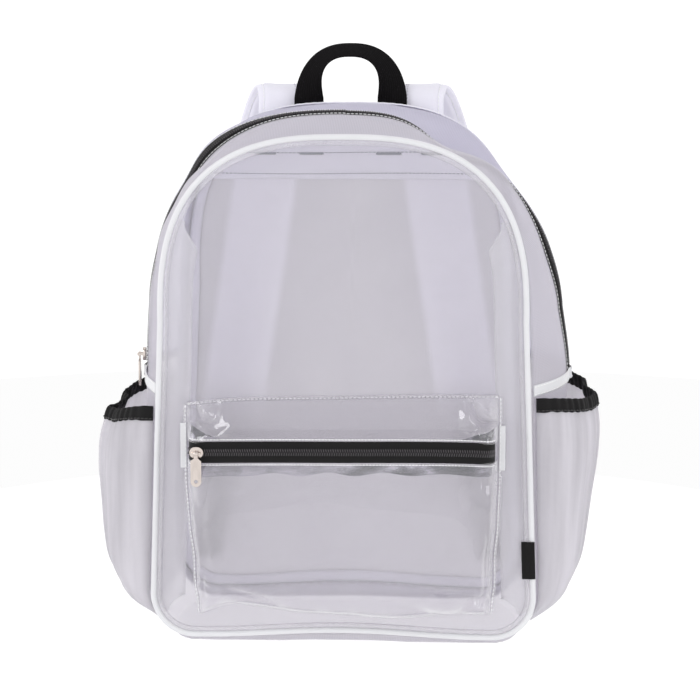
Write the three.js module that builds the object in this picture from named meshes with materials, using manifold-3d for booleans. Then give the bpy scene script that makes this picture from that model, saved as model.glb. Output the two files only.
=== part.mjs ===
// A clear stadium backpack, standing on its base: clear film panels with white piping, black zips,
// sheer side pockets and back, padded shoulder straps and a webbing grab handle.
// Millimetres, +Z up, +X to the right of someone facing the front, which looks along -Y.
// The origin is on the floor under the middle of the body.
import * as THREE from "three";
import { mergeVertices } from "three/addons/utils/BufferGeometryUtils.js";
import Module from "manifold-3d";

// Sizes of the body
const halfWidth = 155; // of the front seam at its base
const bodyHeight = 416; // to the top of the front seam
const backRise = 16.5; // how far the back seam rises above the front one
const bodyDepth = 144; // between the front and back seams at the base
const topLean = 6; // how far the top of the front seam stands behind its foot
const seamLift = 5; // how far a foot seam rises between its corners
const filmWall = 1;
const clothWall = 1.2;
const gap = 0.35; // left between neighbouring pieces
const slack = 0.35; // added where one skin lies on another
const crown = 7; // how far the front panel swells out of its seam
const backCrown = 3;

// The outlines of the front and back seams. arch is the exponent of the round top.
const front = {
  halfBase: halfWidth,
  halfShoulder: halfWidth * 0.945,
  base: 9,
  shoulder: bodyHeight * 0.644,
  top: bodyHeight,
  corner: 34,
  arch: 2.7,
};
const back = {
  halfBase: halfWidth * 0.968,
  halfShoulder: halfWidth * 0.903,
  base: 9,
  shoulder: bodyHeight * 0.668,
  top: bodyHeight + backRise,
  corner: 36,
  arch: 2.9,
};
// Steps in half an outline, from the middle of its foot to the middle of its top
const steps = { foot: 4, corner: 4, side: 5, arch: 13 };

// How far the gusset swells out of the line between the seams, along half an outline. The film on the
// right stands out further than that on the left.
const maxSwell = 30;
const swells = [
  { along: 0, left: 1.1, right: 1.1 },
  { along: 0.15, left: 0.85, right: 0.85 },
  { along: 0.24, left: 0.35, right: 0.4 },
  { along: 0.34, left: 0.45, right: 0.7 },
  { along: 0.45, left: 0.63, right: 1.25 },
  { along: 0.5, left: 0.62, right: 1.1 },
  { along: 0.56, left: 0.45, right: 0.78 },
  { along: 0.69, left: 0.3, right: 0.28 },
  { along: 0.8, left: 0.25, right: 0.3 },
  { along: 1, left: 0.27, right: 0.27 },
];
const swellPower = 2.4; // how square the swelling is from front to back
// Where the film has slumped in: side is 1 on the right, across and spread are shares of the depth
const dents = [
  { side: 1, along: 0.83, reach: 0.09, across: 0.42, spread: 0.26, depth: 0.7 },
  { side: -1, along: 0.68, reach: 0.06, across: 0.5, spread: 0.2, depth: 0.15 },
];

// Trims
const pipingRadius = 2.4;
const bindingWidth = 10;
const bindingWall = 1.2;
const joint = { height: 9, wall: 1, z: 213 }; // where the zipped gusset meets the lower gusset

// Zips
const tape = { width: 17, wall: 1.2 };
const coil = { width: 5.4, height: 1.4 };
const mainZipAcross = 0.45; // share of the depth at which the main zip runs

// Side pockets
const sidePocket = { foot: 25, skew: 0.8, square: 0.5, fold: 1.6, folds: 3 };
// The rim of each side pocket: its height at the seams, its sag between them and how far it stands out
const rims = { left: { top: 195, sag: 13, out: 36 }, right: { top: 204, sag: 20, out: 28 } };
const topBinding = { height: 11, wall: 3.7, leg: 0.8 };
// How far a side pocket stands out of the gusset, from its top edge to its foot
const pocketSwells = [
  { drop: 0, out: 0.7 },
  { drop: 0.14, out: 0.92 },
  { drop: 0.3, out: 1 },
  { drop: 0.5, out: 0.98 },
  { drop: 0.68, out: 0.95 },
  { drop: 0.82, out: 0.85 },
  { drop: 0.92, out: 0.55 },
  { drop: 1, out: 0 },
];

// Front pocket
const pocketMargin = 30; // between the pocket and the front seam
const frontPocket = { halfWidth: halfWidth - pocketMargin, top: 210.5, foot: 28.5, out: 25, square: 60, zipCentre: 168, hood: 0.86 };
// How far its face stands out, from the lower edge of its zip to its foot
const faceSwells = [
  { drop: 0, out: 0.92 },
  { drop: 0.3, out: 1 },
  { drop: 0.65, out: 1 },
  { drop: 0.85, out: 0.94 },
  { drop: 0.95, out: 0.7 },
  { drop: 1, out: 0 },
];
// Shares of half the pocket's width at which its skin turns
const pocketTurns = [0, 0.3, 0.6, 0.85, 0.94, 0.965, 0.98, 0.99, 1];
const endTab = { width: 5, height: 37, wall: 1 };
const label = { width: 11, height: 31, wall: 0.8, foot: 59.5 };

// Back
const yokeDepth = 63; // from the top of the back seam down to the yoke's lower edge
const yokeFoot = back.top - yokeDepth;
const handle = { width: 25, wall: 1.6, halfSpan: 35.5, depth: 38, stand: 6, bow: 40.5, tilt: 66 };
const webbing = { width: 25, wall: 1.4 };
const strap = { width: 55, thick: 10, behind: 55 };
// The right shoulder strap, from its root to its lower end. x is a share of the back's half width, z of its
// height, and behind, width and thick are shares of the strap's own sizes.
const strapShares = [
  { x: 0.367, z: 0.902, behind: 0.153, width: 0.836, thick: 0.4 },
  { x: 0.367, z: 0.962, behind: 0.175, width: 0.873, thick: 0.6 },
  { x: 0.36, z: 1.015, behind: 0.327, width: 0.909, thick: 0.9 },
  { x: 0.38, z: 1.0243, behind: 0.636, width: 0.945, thick: 1 },
  { x: 0.44, z: 0.983, behind: 0.891, width: 0.982, thick: 1 },
  { x: 0.527, z: 0.883, behind: 1, width: 1, thick: 1 },
  { x: 0.607, z: 0.751, behind: 0.927, width: 0.982, thick: 1 },
  { x: 0.66, z: 0.615, behind: 0.782, width: 0.982, thick: 1 },
  { x: 0.7, z: 0.479, behind: 0.6, width: 0.945, thick: 0.9 },
  { x: 0.733, z: 0.3745, behind: 0.455, width: 0.6, thick: 0.6 },
];
const strapRows = strapShares.map((row) => ({
  x: row.x * back.halfBase,
  z: row.z * back.top,
  behind: row.behind * strap.behind,
  width: row.width * strap.width,
  thick: row.thick * strap.thick,
}));
const lock = { width: 34, height: 24, wall: 3.2, slotWidth: 27, slotHeight: 5, slotOffset: 5 };
const anchor = { x: back.halfBase - 24, z: back.corner - 2, behind: 4 };
const tail = 42;

// Zip sliders and pullers
const slider = { length: 11, width: 9, wall: 2.4, halfSpan: 2.9, post: 1.4, bar: 0.8, rise: 3 };
const puller = { length: 27, width: 8.6, wall: 1.4, neck: 3.2, neckEnd: 5, eye: 1.9, hole: 1.5 };
const pocketSliderX = 10 - frontPocket.halfWidth;
const mainSliderZ = joint.z + 13;

const film = { color: 0xe4e4ea, roughness: 0.12, transparent: true, opacity: 0.25 };
const sheer = { color: 0xd8d6de, roughness: 0.85, transparent: true, opacity: 0.6 };
const whiteCloth = { color: 0xe9e7f0, roughness: 0.8 };
const whiteVinyl = { color: 0xf2f2f4, roughness: 0.35 };
const blackCloth = { color: 0x161516, roughness: 0.85 };
const blackPlastic = { color: 0x141414, roughness: 0.4 };
const nickel = { color: 0xcfc7bf, roughness: 0.3, metalness: 0.9 };

const wasm = await Module();
wasm.setup();

const { lerp, clamp, degToRad, smoothstep } = THREE.MathUtils;
const halfSteps = steps.foot + steps.corner + steps.side + steps.arch;
const footEnd = steps.foot / halfSteps;
const cornerEnd = footEnd + steps.corner / halfSteps;
const sideEnd = cornerEnd + steps.side / halfSteps;

// A column of a table at a place given in another column, on a smooth curve through its rows.
function read(table, key, at, column) {
  const row = (k) => table[clamp(k, 0, table.length - 1)];
  const found = table.findIndex((entry) => entry[key] > at);
  const i = found < 0 ? table.length - 2 : Math.max(found - 1, 0);
  const width = row(i + 1)[key] - row(i)[key];
  const u = clamp((at - row(i)[key]) / width, 0, 1);
  const slope = (k) => (row(k + 1)[column] - row(k - 1)[column]) / (row(k + 1)[key] - row(k - 1)[key]);
  const [a, b] = [row(i)[column], row(i + 1)[column]];
  const bend = (1 - u) * (slope(i) * width - (b - a)) - u * (slope(i + 1) * width - (b - a));
  return lerp(a, b, u) + u * (1 - u) * bend;
}

// Places from one value to another with even steps between
function evenly(from, to, count) {
  return Array.from({ length: count + 1 }, (_, i) => lerp(from, to, i / count));
}

// The places round an outline that every piece along it shares, between two of them
function stations(from, to) {
  const inner = [];
  for (let k = Math.ceil(from * halfSteps + 1e-3); k < to * halfSteps - 1e-3; k++) inner.push(k / halfSteps);
  return [from, ...inner, to];
}

const allRound = stations(-1, 1).slice(0, -1);

// Solids

// A closed geometry from points and triangles, facing out, with points that coincide joined.
function closed(points, triangles) {
  const loose = new THREE.BufferGeometry().setFromPoints(points);
  loose.setIndex(triangles);
  const joined = mergeVertices(loose, 1e-3);
  const kept = [];
  for (let i = 0; i < joined.index.count; i += 3) {
    const [a, b, c] = [0, 1, 2].map((k) => joined.index.getX(i + k));
    if (a !== b && b !== c && c !== a) kept.push(a, b, c);
  }
  if (volumeOf(joined, kept) < 0) kept.reverse();
  joined.setIndex(kept);
  joined.computeVertexNormals();
  return joined;
}

function volumeOf(geometry, index) {
  const corners = [0, 1, 2].map(() => new THREE.Vector3());
  let volume = 0;
  for (let i = 0; i < index.length; i += 3) {
    corners.forEach((corner, k) => corner.fromBufferAttribute(geometry.attributes.position, index[i + k]));
    volume += corners[0].dot(corners[1].cross(corners[2])) / 6;
  }
  return volume;
}

// The unit normal of a surface point(s, t).
function normalOf(point, s, t) {
  const step = 1e-3;
  const along = point(s + step, t).sub(point(s - step, t));
  const across = point(s, t + step).sub(point(s, t - step));
  return along.cross(across).normalize();
}

// A wall of even thickness about the surface point(s, t), through the given values of s and t.
// A looped sheet joins its last row to its first, and a capped one closes to a point where t is 0.
function sheet(point, rows, columns, wall, { loop = false, capped = false } = {}) {
  const width = columns.length;
  const skin = rows.length * width;
  const points = [];
  for (const side of [0.5, -0.5])
    for (const s of rows)
      for (const t of columns) {
        const normal = capped && t === 0 ? new THREE.Vector3(0, 1, 0) : normalOf(point, s, t);
        points.push(point(s, t).addScaledVector(normal, side * wall));
      }
  const triangles = [];
  const quad = (a, b, c, d) => triangles.push(a, b, c, a, c, d);
  const at = (i, j) => (i % rows.length) * width + j;
  const under = (i, j) => skin + at(i, j);
  const last = { row: rows.length - 1, column: width - 1 };
  for (let i = 0; i < (loop ? rows.length : last.row); i++) {
    for (let j = 0; j < last.column; j++) {
      quad(at(i, j), at(i + 1, j), at(i + 1, j + 1), at(i, j + 1));
      quad(under(i, j), under(i, j + 1), under(i + 1, j + 1), under(i + 1, j));
    }
    if (!capped) quad(at(i, 0), under(i, 0), under(i + 1, 0), at(i + 1, 0));
    quad(at(i, last.column), at(i + 1, last.column), under(i + 1, last.column), under(i, last.column));
  }
  if (!loop)
    for (let j = 0; j < last.column; j++) {
      quad(at(0, j), at(0, j + 1), under(0, j + 1), under(0, j));
      quad(at(last.row, j), under(last.row, j), under(last.row, j + 1), at(last.row, j + 1));
    }
  return closed(points, triangles);
}

// A flat section of [across, up] pairs carried through places. place(s, across, up) gives its points.
function sweep(section, places, place, loop = false) {
  const sides = section.length;
  const points = places.flatMap((s) => section.map(([across, up]) => place(s, across, up)));
  const triangles = [];
  const at = (i, k) => (i % places.length) * sides + (k % sides);
  for (let i = 0; i < places.length - (loop ? 0 : 1); i++)
    for (let k = 0; k < sides; k++) {
      triangles.push(at(i, k), at(i, k + 1), at(i + 1, k + 1));
      triangles.push(at(i, k), at(i + 1, k + 1), at(i + 1, k));
    }
  if (!loop) {
    const end = places.length - 1;
    const contour = section.map(([across, up]) => new THREE.Vector2(across, up));
    const clockwise = THREE.ShapeUtils.isClockWise(contour);
    for (const [a, b, c] of THREE.ShapeUtils.triangulateShape(contour, [])) {
      const [p, q, r] = clockwise ? [c, b, a] : [a, b, c];
      triangles.push(at(0, r), at(0, q), at(0, p), at(end, p), at(end, q), at(end, r));
    }
  }
  return closed(points, triangles);
}

// Geometries joined into one body, less others cut from it.
function carved(added, cut = []) {
  const solid = (geometry) => {
    const bare = new THREE.BufferGeometry().setAttribute("position", geometry.getAttribute("position"));
    if (geometry.index) bare.setIndex(geometry.index);
    const joined = mergeVertices(bare, 1e-4);
    const vertProperties = new Float32Array(joined.attributes.position.array);
    const triVerts = new Uint32Array(joined.index.array);
    return new wasm.Manifold(new wasm.Mesh({ numProp: 3, vertProperties, triVerts }));
  };
  let body = added.map(solid).reduce((whole, piece) => whole.add(piece));
  for (const piece of cut) body = body.subtract(solid(piece));
  const { vertProperties, triVerts } = body.getMesh();
  const made = new THREE.BufferGeometry();
  made.setAttribute("position", new THREE.BufferAttribute(new Float32Array(vertProperties), 3));
  made.setIndex(new THREE.BufferAttribute(new Uint32Array(triVerts), 1));
  made.computeVertexNormals();
  return made;
}

// The surfaces of the body

// A point of the right half of a seam's outline, from the middle of its foot to the middle of its top.
function halfOutline(form, share) {
  const { halfBase, halfShoulder, base, shoulder, top, corner, arch } = form;
  const flat = halfBase - corner;
  if (share < footEnd) {
    const x = (flat * share) / footEnd;
    return [x, base + seamLift * Math.cos((Math.PI / 2) * (x / flat)) ** 2];
  }
  if (share < cornerEnd) {
    const turn = (Math.PI / 2) * ((share - footEnd) / (cornerEnd - footEnd));
    return [flat + corner * Math.sin(turn), base + corner * (1 - Math.cos(turn))];
  }
  if (share < sideEnd) {
    const rise = (share - cornerEnd) / (sideEnd - cornerEnd);
    return [lerp(halfBase, halfShoulder, rise), lerp(base + corner, shoulder, rise)];
  }
  const turn = (Math.PI / 2) * ((share - sideEnd) / (1 - sideEnd));
  const reach = (value) => Math.max(value, 0) ** (2 / arch);
  return [halfShoulder * reach(Math.cos(turn)), shoulder + (top - shoulder) * reach(Math.sin(turn))];
}

// The share of half an outline at which its side or its arch reaches a height
function shareAt(form, height) {
  const { base, shoulder, top, corner, arch } = form;
  if (height <= shoulder) {
    const rise = (height - base - corner) / (shoulder - base - corner);
    return lerp(cornerEnd, sideEnd, rise);
  }
  const turn = Math.asin(((height - shoulder) / (top - shoulder)) ** (arch / 2));
  return lerp(sideEnd, 1, turn / (Math.PI / 2));
}

// around runs from 0 at the foot to 1 at the top by the right side, and to -1 by the left.
function wrapped(around) {
  if (around > 1) return around - 2;
  return around < -1 ? around + 2 : around;
}

function outline(form, around) {
  const turn = wrapped(around);
  const [x, z] = halfOutline(form, Math.abs(turn));
  return new THREE.Vector2(turn < 0 ? -x : x, z);
}

function outward(form, around) {
  const step = 4e-3;
  const tangent = outline(form, around + step).sub(outline(form, around - step));
  return new THREE.Vector2(tangent.y, -tangent.x).normalize();
}

function inset(form, around, distance) {
  return outline(form, around).addScaledVector(outward(form, around), -distance);
}

// How much a panel is crowned at a place on it, from 0 at its seam to 1 in its middle
function crowned(form, x, z) {
  const middle = form.top / 2;
  return Math.max(0, 1 - (x / form.halfBase) ** 2) * Math.max(0, 1 - ((z - middle) / middle) ** 2);
}

function frontY(x, z) {
  return -bodyDepth / 2 + topLean * (z / front.top) ** 2 - crown * crowned(front, x, z);
}

function backY(x, z) {
  return bodyDepth / 2 + backCrown * crowned(back, x, z);
}

// The gusset between the seams. across is 0 at the front seam and 1 at the back seam.
function gusset(around, across, out = 0) {
  const turn = wrapped(around);
  const along = Math.abs(turn);
  const [a, b] = [outline(front, around), outline(back, around)];
  const direction = outward(front, around).lerp(outward(back, around), across).normalize();
  let swell = read(swells, "along", along, turn < 0 ? "left" : "right") * (1 - Math.abs(2 * across - 1) ** swellPower);
  for (const dent of dents) {
    if (dent.side * turn <= 0) continue;
    const near = ((along - dent.along) / dent.reach) ** 2 + ((across - dent.across) / dent.spread) ** 2;
    swell -= dent.depth * Math.exp(-near) * Math.sqrt(Math.max(Math.sin(Math.PI * across), 0));
  }
  const at = a.clone().lerp(b, across).addScaledVector(direction, maxSwell * swell);
  at.y = Math.max(at.y, clothWall / 2 + bindingStand * smoothstep(across, edges.binding - 0.05, edges.binding));
  at.addScaledVector(direction, out);
  return new THREE.Vector3(at.x, lerp(frontY(a.x, a.y), backY(b.x, b.y), across), at.y);
}

// How far the middle of the back binding stands outside the middle of the skin under it
const bindingStand = clothWall / 2 + gap + bindingWall / 2 + slack;
const edges = {
  front: (pipingRadius + gap + filmWall / 2) / bodyDepth,
  zipFront: mainZipAcross - (tape.width / 2 + gap) / bodyDepth,
  zipBack: mainZipAcross + (tape.width / 2 + gap) / bodyDepth,
  binding: 1 - (bindingWidth + gap) / bodyDepth,
  back: 1 - (clothWall / 2 + gap + bindingWall / 2) / bodyDepth,
};
const frontColumns = evenly(edges.front, edges.zipFront, 4);
const backColumns = [...evenly(edges.zipBack, edges.binding, 3), edges.back];
const acrossColumns = [...frontColumns, ...backColumns];
// Where a skin that lies on the film has its own middle
const lay = filmWall + gap + slack;

// Panels

const panelCentre = new THREE.Vector2(0, bodyHeight * 0.493);

// A panel inside a seam, held clear of it, with its place in depth given by depthAt.
function panel(form, edgeGap, depthAt, wall, rings) {
  const point = (around, t) => {
    const at = panelCentre.clone().lerp(inset(form, around, edgeGap), t);
    return new THREE.Vector3(at.x, depthAt(at.x, at.y), at.y);
  };
  return sheet(point, allRound, evenly(0, 1, rings), wall, { loop: true, capped: true });
}

function piping() {
  const section = evenly(0, 2 * Math.PI, 8)
    .slice(0, -1)
    .map((turn) => [pipingRadius * Math.cos(turn), pipingRadius * Math.sin(turn)]);
  const place = (around, across, up) => {
    const at = inset(front, around, across);
    const seam = outline(front, around);
    return new THREE.Vector3(at.x, frontY(seam.x, seam.y) + up, at.y);
  };
  return sweep(section, allRound, place, true);
}

const jointAlong = shareAt(front, joint.z);
const underEnd = shareAt(front, joint.z - 2 * gap);
const overTop = stations(jointAlong, 2 - jointAlong);
const underFoot = stations(-underEnd, underEnd);

function gussetFront() {
  return sheet(gusset, overTop, frontColumns, filmWall);
}

function gussetBack() {
  return sheet(gusset, overTop, backColumns, filmWall);
}

function lowerGusset() {
  return sheet(gusset, underFoot, acrossColumns, clothWall);
}

// The section of a zip: flat tape with a raised coil along its middle
function zipSection() {
  const [half, low] = [tape.width / 2, tape.wall / 2];
  const [foot, crest] = [coil.width / 2, coil.width / 2 - 0.8];
  const top = low + coil.height;
  return [[-half, -low], [half, -low], [half, low], [foot, low], [crest, top], [-crest, top], [-foot, low], [-half, low]];
}

function mainZip() {
  const place = (around, across, up) => gusset(around, mainZipAcross + across / bodyDepth, up);
  return sweep(zipSection(), overTop, place);
}

// The band over the joint between the zipped gusset and the lower one. It steps over the zip's coil.
function jointBand(side) {
  const half = shareAt(front, joint.z + joint.height / 2) - jointAlong;
  const reach = (width) => [mainZipAcross - width / bodyDepth, mainZipAcross + width / bodyDepth];
  const [stepIn, stepOut] = [coil.width / 2 + 1.2, coil.width / 2 + 3];
  const columns = [...frontColumns, ...reach(stepOut), ...reach(stepIn), ...backColumns.slice(0, -1)];
  columns.sort((a, b) => a - b);
  const point = (t, across) => {
    const away = Math.abs(across - mainZipAcross) * bodyDepth;
    const over = (coil.height + slack) * clamp((stepOut - away) / (stepOut - stepIn), 0, 1);
    return gusset(side * (jointAlong + half * t), across, lay + over);
  };
  return sheet(point, [-1, 0, 1], columns, joint.wall);
}

// The white binding over the back seam: one leg on the gusset and one on the back panel
function backBinding() {
  const out = bindingStand;
  const point = (around, t) => {
    if (t <= 0) {
      const at = gusset(around, 1 + (t * bindingWidth) / bodyDepth, out);
      at.y += (1 + t) * out;
      return at;
    }
    const at = inset(back, around, t * bindingWidth - (1 - t) * out);
    return new THREE.Vector3(at.x, backY(at.x, at.y) + out, at.y);
  };
  return sheet(point, allRound, [-1, -0.4, 0, 1], bindingWall, { loop: true });
}

// The white cloth behind the top of the back, with a straight lower edge
function yoke() {
  const edge = clothWall + gap + 2;
  const start = shareAt(back, yokeFoot + 12);
  const point = (around, t) => {
    const top = inset(back, around, edge);
    const z = lerp(top.y, yokeFoot, t);
    return new THREE.Vector3(top.x, backY(top.x, z) - clothWall - gap - slack, z);
  };
  return sheet(point, stations(start, 2 - start), [0, 0.5, 1], clothWall);
}

// Side pockets

// The shares of the depth between which a side pocket is sewn down
const pocketSpan = {
  front: (pipingRadius + clothWall + 2 * gap) / bodyDepth,
  back: edges.binding - (clothWall + gap) / bodyDepth,
};

// A point of a side pocket. drop is 0 at its top edge and 1 at its foot.
function pocketPoint(side, drop, across) {
  const { foot, skew, square, fold, folds } = sidePocket;
  const rim = side < 0 ? rims.left : rims.right;
  const share = clamp((across - pocketSpan.front) / (pocketSpan.back - pocketSpan.front), 0, 1);
  const bulge = Math.sin(Math.PI * share ** skew) ** square;
  const fade = 1 - drop;
  const ripple = fold * fade * Math.sin(2 * Math.PI * folds * share) * Math.sin(Math.PI * share);
  const stand = rim.out * bulge * read(pocketSwells, "drop", drop, "out");
  const clear = lay + slack + (topBinding.wall / 2) * clamp(1 - drop / 0.2, 0, 1);
  const foothold = footShare(lerp(rim.top - rim.sag * bulge, foot, drop));
  return gusset(side * foothold, across, clear + stand + ripple);
}

// The share of half the front outline at a height, down into the corner
function footShare(height) {
  const { base, corner } = front;
  if (height >= base + corner) return shareAt(front, height);
  const turn = Math.acos(clamp((base + corner - height) / corner, -1, 1));
  return lerp(footEnd, cornerEnd, turn / (Math.PI / 2));
}

const pocketColumns = evenly(pocketSpan.front, pocketSpan.back, 16);
const rimHeight = Math.max(rims.left.top, rims.right.top) - sidePocket.foot;
const bindingDrop = topBinding.height / rimHeight;

function pocket(side) {
  const drops = [0, bindingDrop, 0.14, 0.24, 0.36, 0.48, 0.6, 0.7, 0.78, 0.85, 0.91, 0.96, 1];
  return sheet((drop, across) => pocketPoint(side, drop, across), drops, pocketColumns, clothWall);
}

// The black binding folded over a side pocket's top edge, with its gathered ruffle
function pocketBinding(side) {
  const half = topBinding.wall / 2;
  const slot = half - topBinding.leg;
  const crest = 2 * gap;
  const lip = crest + topBinding.leg;
  const low = -topBinding.height;
  const section = [[low, -half], [lip, -half], [lip, half], [low, half], [low, slot], [crest, slot], [crest, -slot], [low, -slot]];
  const place = (across, up, out) => {
    const skin = (drop, share) => pocketPoint(side, drop, share);
    const drop = Math.max(-up / rimHeight, 0);
    const at = skin(drop, across).addScaledVector(normalOf(skin, drop, across), out);
    at.z += Math.max(up, 0);
    return at;
  };
  return sweep(section, pocketColumns, place);
}

// Front pocket

const zipEdge = { top: frontPocket.zipCentre + tape.width / 2, foot: frontPocket.zipCentre - tape.width / 2 };

// How far the front pocket stands out at a height, as a share of its depth
function pocketProfile(z) {
  const { top, foot, hood } = frontPocket;
  const low = faceSwells[0].out;
  if (z >= zipEdge.top) return hood * clamp((top - z) / (top - zipEdge.top), 0, 1) ** 0.8;
  if (z > zipEdge.foot) return lerp(low, hood, (z - zipEdge.foot) / tape.width);
  return read(faceSwells, "drop", (zipEdge.foot - z) / (zipEdge.foot - foot), "out");
}

function pocketSkin(x, z) {
  const share = Math.min(Math.abs(x) / frontPocket.halfWidth, 1);
  const stand = frontPocket.out * pocketProfile(z) * (1 - share ** frontPocket.square);
  return new THREE.Vector3(x, frontY(x, z) - lay - stand, z);
}

const pocketXs = [...pocketTurns.slice(1).reverse().map((turn) => -turn), ...pocketTurns].map(
  (turn) => turn * frontPocket.halfWidth,
);

function hood() {
  const rows = evenly(frontPocket.top, zipEdge.top + gap, 4);
  return sheet((z, x) => pocketSkin(x, z), rows, pocketXs, filmWall);
}

function pocketFace() {
  const start = zipEdge.foot - gap;
  const drops = [0, 0.12, 0.25, 0.4, 0.55, 0.7, 0.8, 0.87, 0.92, 0.96, 0.985, 1];
  const rows = drops.map((drop) => lerp(start, frontPocket.foot, drop));
  return sheet((z, x) => pocketSkin(x, z), rows, pocketXs, filmWall);
}

function pocketZip() {
  const reach = frontPocket.halfWidth * pocketTurns.at(-4);
  const xs = pocketXs.filter((x) => Math.abs(x) <= reach);
  const place = (x, across, up) => {
    const z = frontPocket.zipCentre + across;
    return pocketSkin(x, z).add(new THREE.Vector3(0, -up, 0));
  };
  return sweep(zipSection(), xs, place);
}

// The white tab sewn down over one end of the front pocket's zip
function endTabAt(side) {
  const start = frontPocket.halfWidth + filmWall / 2 + gap;
  const half = endTab.height / 2;
  const point = (x, z) => new THREE.Vector3(side * x, frontY(x, z) - lay, z);
  const rows = evenly(start, start + endTab.width, 1);
  return sheet(point, rows, evenly(frontPocket.zipCentre - half, frontPocket.zipCentre + half, 2), endTab.wall);
}

// The bare black tab that lies over the piping at the right
function sideLabel() {
  const over = pipingRadius + gap + label.wall / 2 + slack;
  const heights = evenly(label.foot, label.foot + label.height, 2);
  const point = (z, reach) => {
    const at = inset(front, shareAt(front, z), reach);
    const lift = lerp(over, lay, clamp((reach - pipingRadius) / (label.width - pipingRadius), 0, 1) ** 0.5);
    return new THREE.Vector3(at.x, frontY(at.x, at.y) - lift, at.y);
  };
  const reaches = [-pipingRadius, pipingRadius + gap, pipingRadius + 3, label.width - pipingRadius];
  return sheet(point, heights, reaches, label.wall);
}

// Handle and straps

// The grab handle: two flat legs, and a bow between them that turns its width from the wall to the sky
function grabHandle() {
  const { width, wall, halfSpan, depth, stand, bow: bowHeight, tilt } = handle;
  const foot = back.top - depth;
  const spring = back.top + stand;
  const footY = backY(halfSpan, foot) + clothWall / 2 + gap + wall / 2;
  const bowY = backY(halfSpan, foot) + bindingStand + bindingWall / 2 + gap + wall / 2;
  const section = [[-width / 2, -wall / 2], [width / 2, -wall / 2], [width / 2, wall / 2], [-width / 2, wall / 2]];
  const bow = evenly(0, Math.PI, 18);
  const legs = [{ z: foot, y: footY }, { z: back.top - 1.5 * bindingWidth, y: bowY }];
  const places = [
    ...legs.map((leg) => ({ turn: 0, ...leg })),
    ...bow.map((turn) => ({ turn, z: spring, y: bowY })),
    ...legs.reverse().map((leg) => ({ turn: Math.PI, ...leg })),
  ];
  const place = ({ turn, z, y }, across, up) => {
    const rise = bowHeight * Math.sin(turn);
    const middle = new THREE.Vector3(halfSpan * Math.cos(turn), y, z + rise);
    const normal = new THREE.Vector3(Math.cos(turn), 0, Math.sin(turn));
    const lean = degToRad(tilt) * Math.sin(turn);
    const broad = normal.clone().multiplyScalar(Math.cos(lean)).add(new THREE.Vector3(0, Math.sin(lean), 0));
    const thin = new THREE.Vector3(-Math.sin(turn), 0, Math.cos(turn)).cross(broad).normalize();
    return middle.addScaledVector(broad, across).addScaledVector(thin, up);
  };
  return sweep(section, places, place);
}

// A ribbon of changing width and thickness along rows of x, z and behind
function ribbon(rows, side, corner) {
  const curve = new THREE.CatmullRomCurve3(
    rows.map((row) => new THREE.Vector3(side * row.x, bodyDepth / 2 + row.behind, row.z)),
    false,
    "centripetal",
  );
  const shares = evenly(0, 1, (rows.length - 1) * 2);
  const size = (share, column) => {
    const at = share * (rows.length - 1);
    const low = Math.min(Math.floor(at), rows.length - 2);
    return lerp(rows[low][column], rows[low + 1][column], at - low);
  };
  const section = corner
    ? [[-1, -0.3], [-0.9, -1], [0.9, -1], [1, -0.3], [1, 0.3], [0.9, 1], [-0.9, 1], [-1, 0.3]]
    : [[-1, -1], [1, -1], [1, 1], [-1, 1]];
  const place = (share, across, up) => {
    const tangent = curve.getTangent(share);
    const thin = new THREE.Vector3(1, 0, 0).cross(tangent).normalize();
    const broad = tangent.clone().cross(thin).normalize();
    return curve
      .getPoint(share)
      .addScaledVector(broad, (across * size(share, "width")) / 2)
      .addScaledVector(thin, (up * size(share, "thick")) / 2);
  };
  return sweep(section, shares, place);
}

const strapEnd = strapRows.at(-1);
const strapSlope = (strapEnd.behind - strapRows.at(-2).behind) / (strapRows.at(-2).z - strapEnd.z);
// The middle of a ladder lock, straight below its strap's end
const lockPlace = {
  x: strapEnd.x + ((anchor.x - strapEnd.x) * lock.height) / 2 / (strapEnd.z - anchor.z),
  z: strapEnd.z - gap - 2.2 - lock.height / 2,
  behind: strapEnd.behind + strapSlope * (lock.height / 2 + gap),
};

function ladderLock(side) {
  const { width, height, wall, slotWidth, slotHeight, slotOffset } = lock;
  const centre = new THREE.Vector3(side * lockPlace.x, bodyDepth / 2 + lockPlace.behind, lockPlace.z);
  const box = (w, d, h, z) => new THREE.BoxGeometry(w, d, h).translate(centre.x, centre.y, centre.z + z);
  const slots = [slotOffset, -slotOffset].map((z) => box(slotWidth, wall * 3, slotHeight, z));
  return carved([box(width, wall, height, 0)], slots);
}

// The lower webbing: from the bag's foot up behind the lock's lowest bar, through its slot and down as a tail
function lowerWebbing(side) {
  const clear = lock.wall / 2 + gap + webbing.wall / 2 + slack;
  const slotZ = lockPlace.z - lock.slotOffset;
  const top = slotZ + lock.slotHeight / 2 - gap - webbing.wall / 2 - 0.3;
  const barFoot = lockPlace.z - lock.height / 2;
  const shift = (share) => lerp(lockPlace.x, anchor.x, share);
  const row = (x, z, behind) => ({ x, z, behind, width: webbing.width, thick: webbing.wall });
  const rows = [
    row(anchor.x, anchor.z, anchor.behind),
    row(shift(0.5), lerp(anchor.z, barFoot, 0.5), lerp(anchor.behind, lockPlace.behind - clear, 0.55)),
    row(shift(0.06), barFoot, lockPlace.behind - clear),
    row(shift(0), slotZ - lock.slotHeight / 2, lockPlace.behind - clear),
    row(shift(0), top, lockPlace.behind),
    row(shift(0), slotZ - lock.slotHeight / 2, lockPlace.behind + clear),
    row(shift(0.04), barFoot, lockPlace.behind + clear),
    row(shift(0.06), barFoot - tail, lockPlace.behind + clear + 2),
  ];
  return ribbon(rows, side, false);
}

// Zip sliders and pullers, in a frame with the hinge bar along X, up the tape along Y and out along Z

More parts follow.
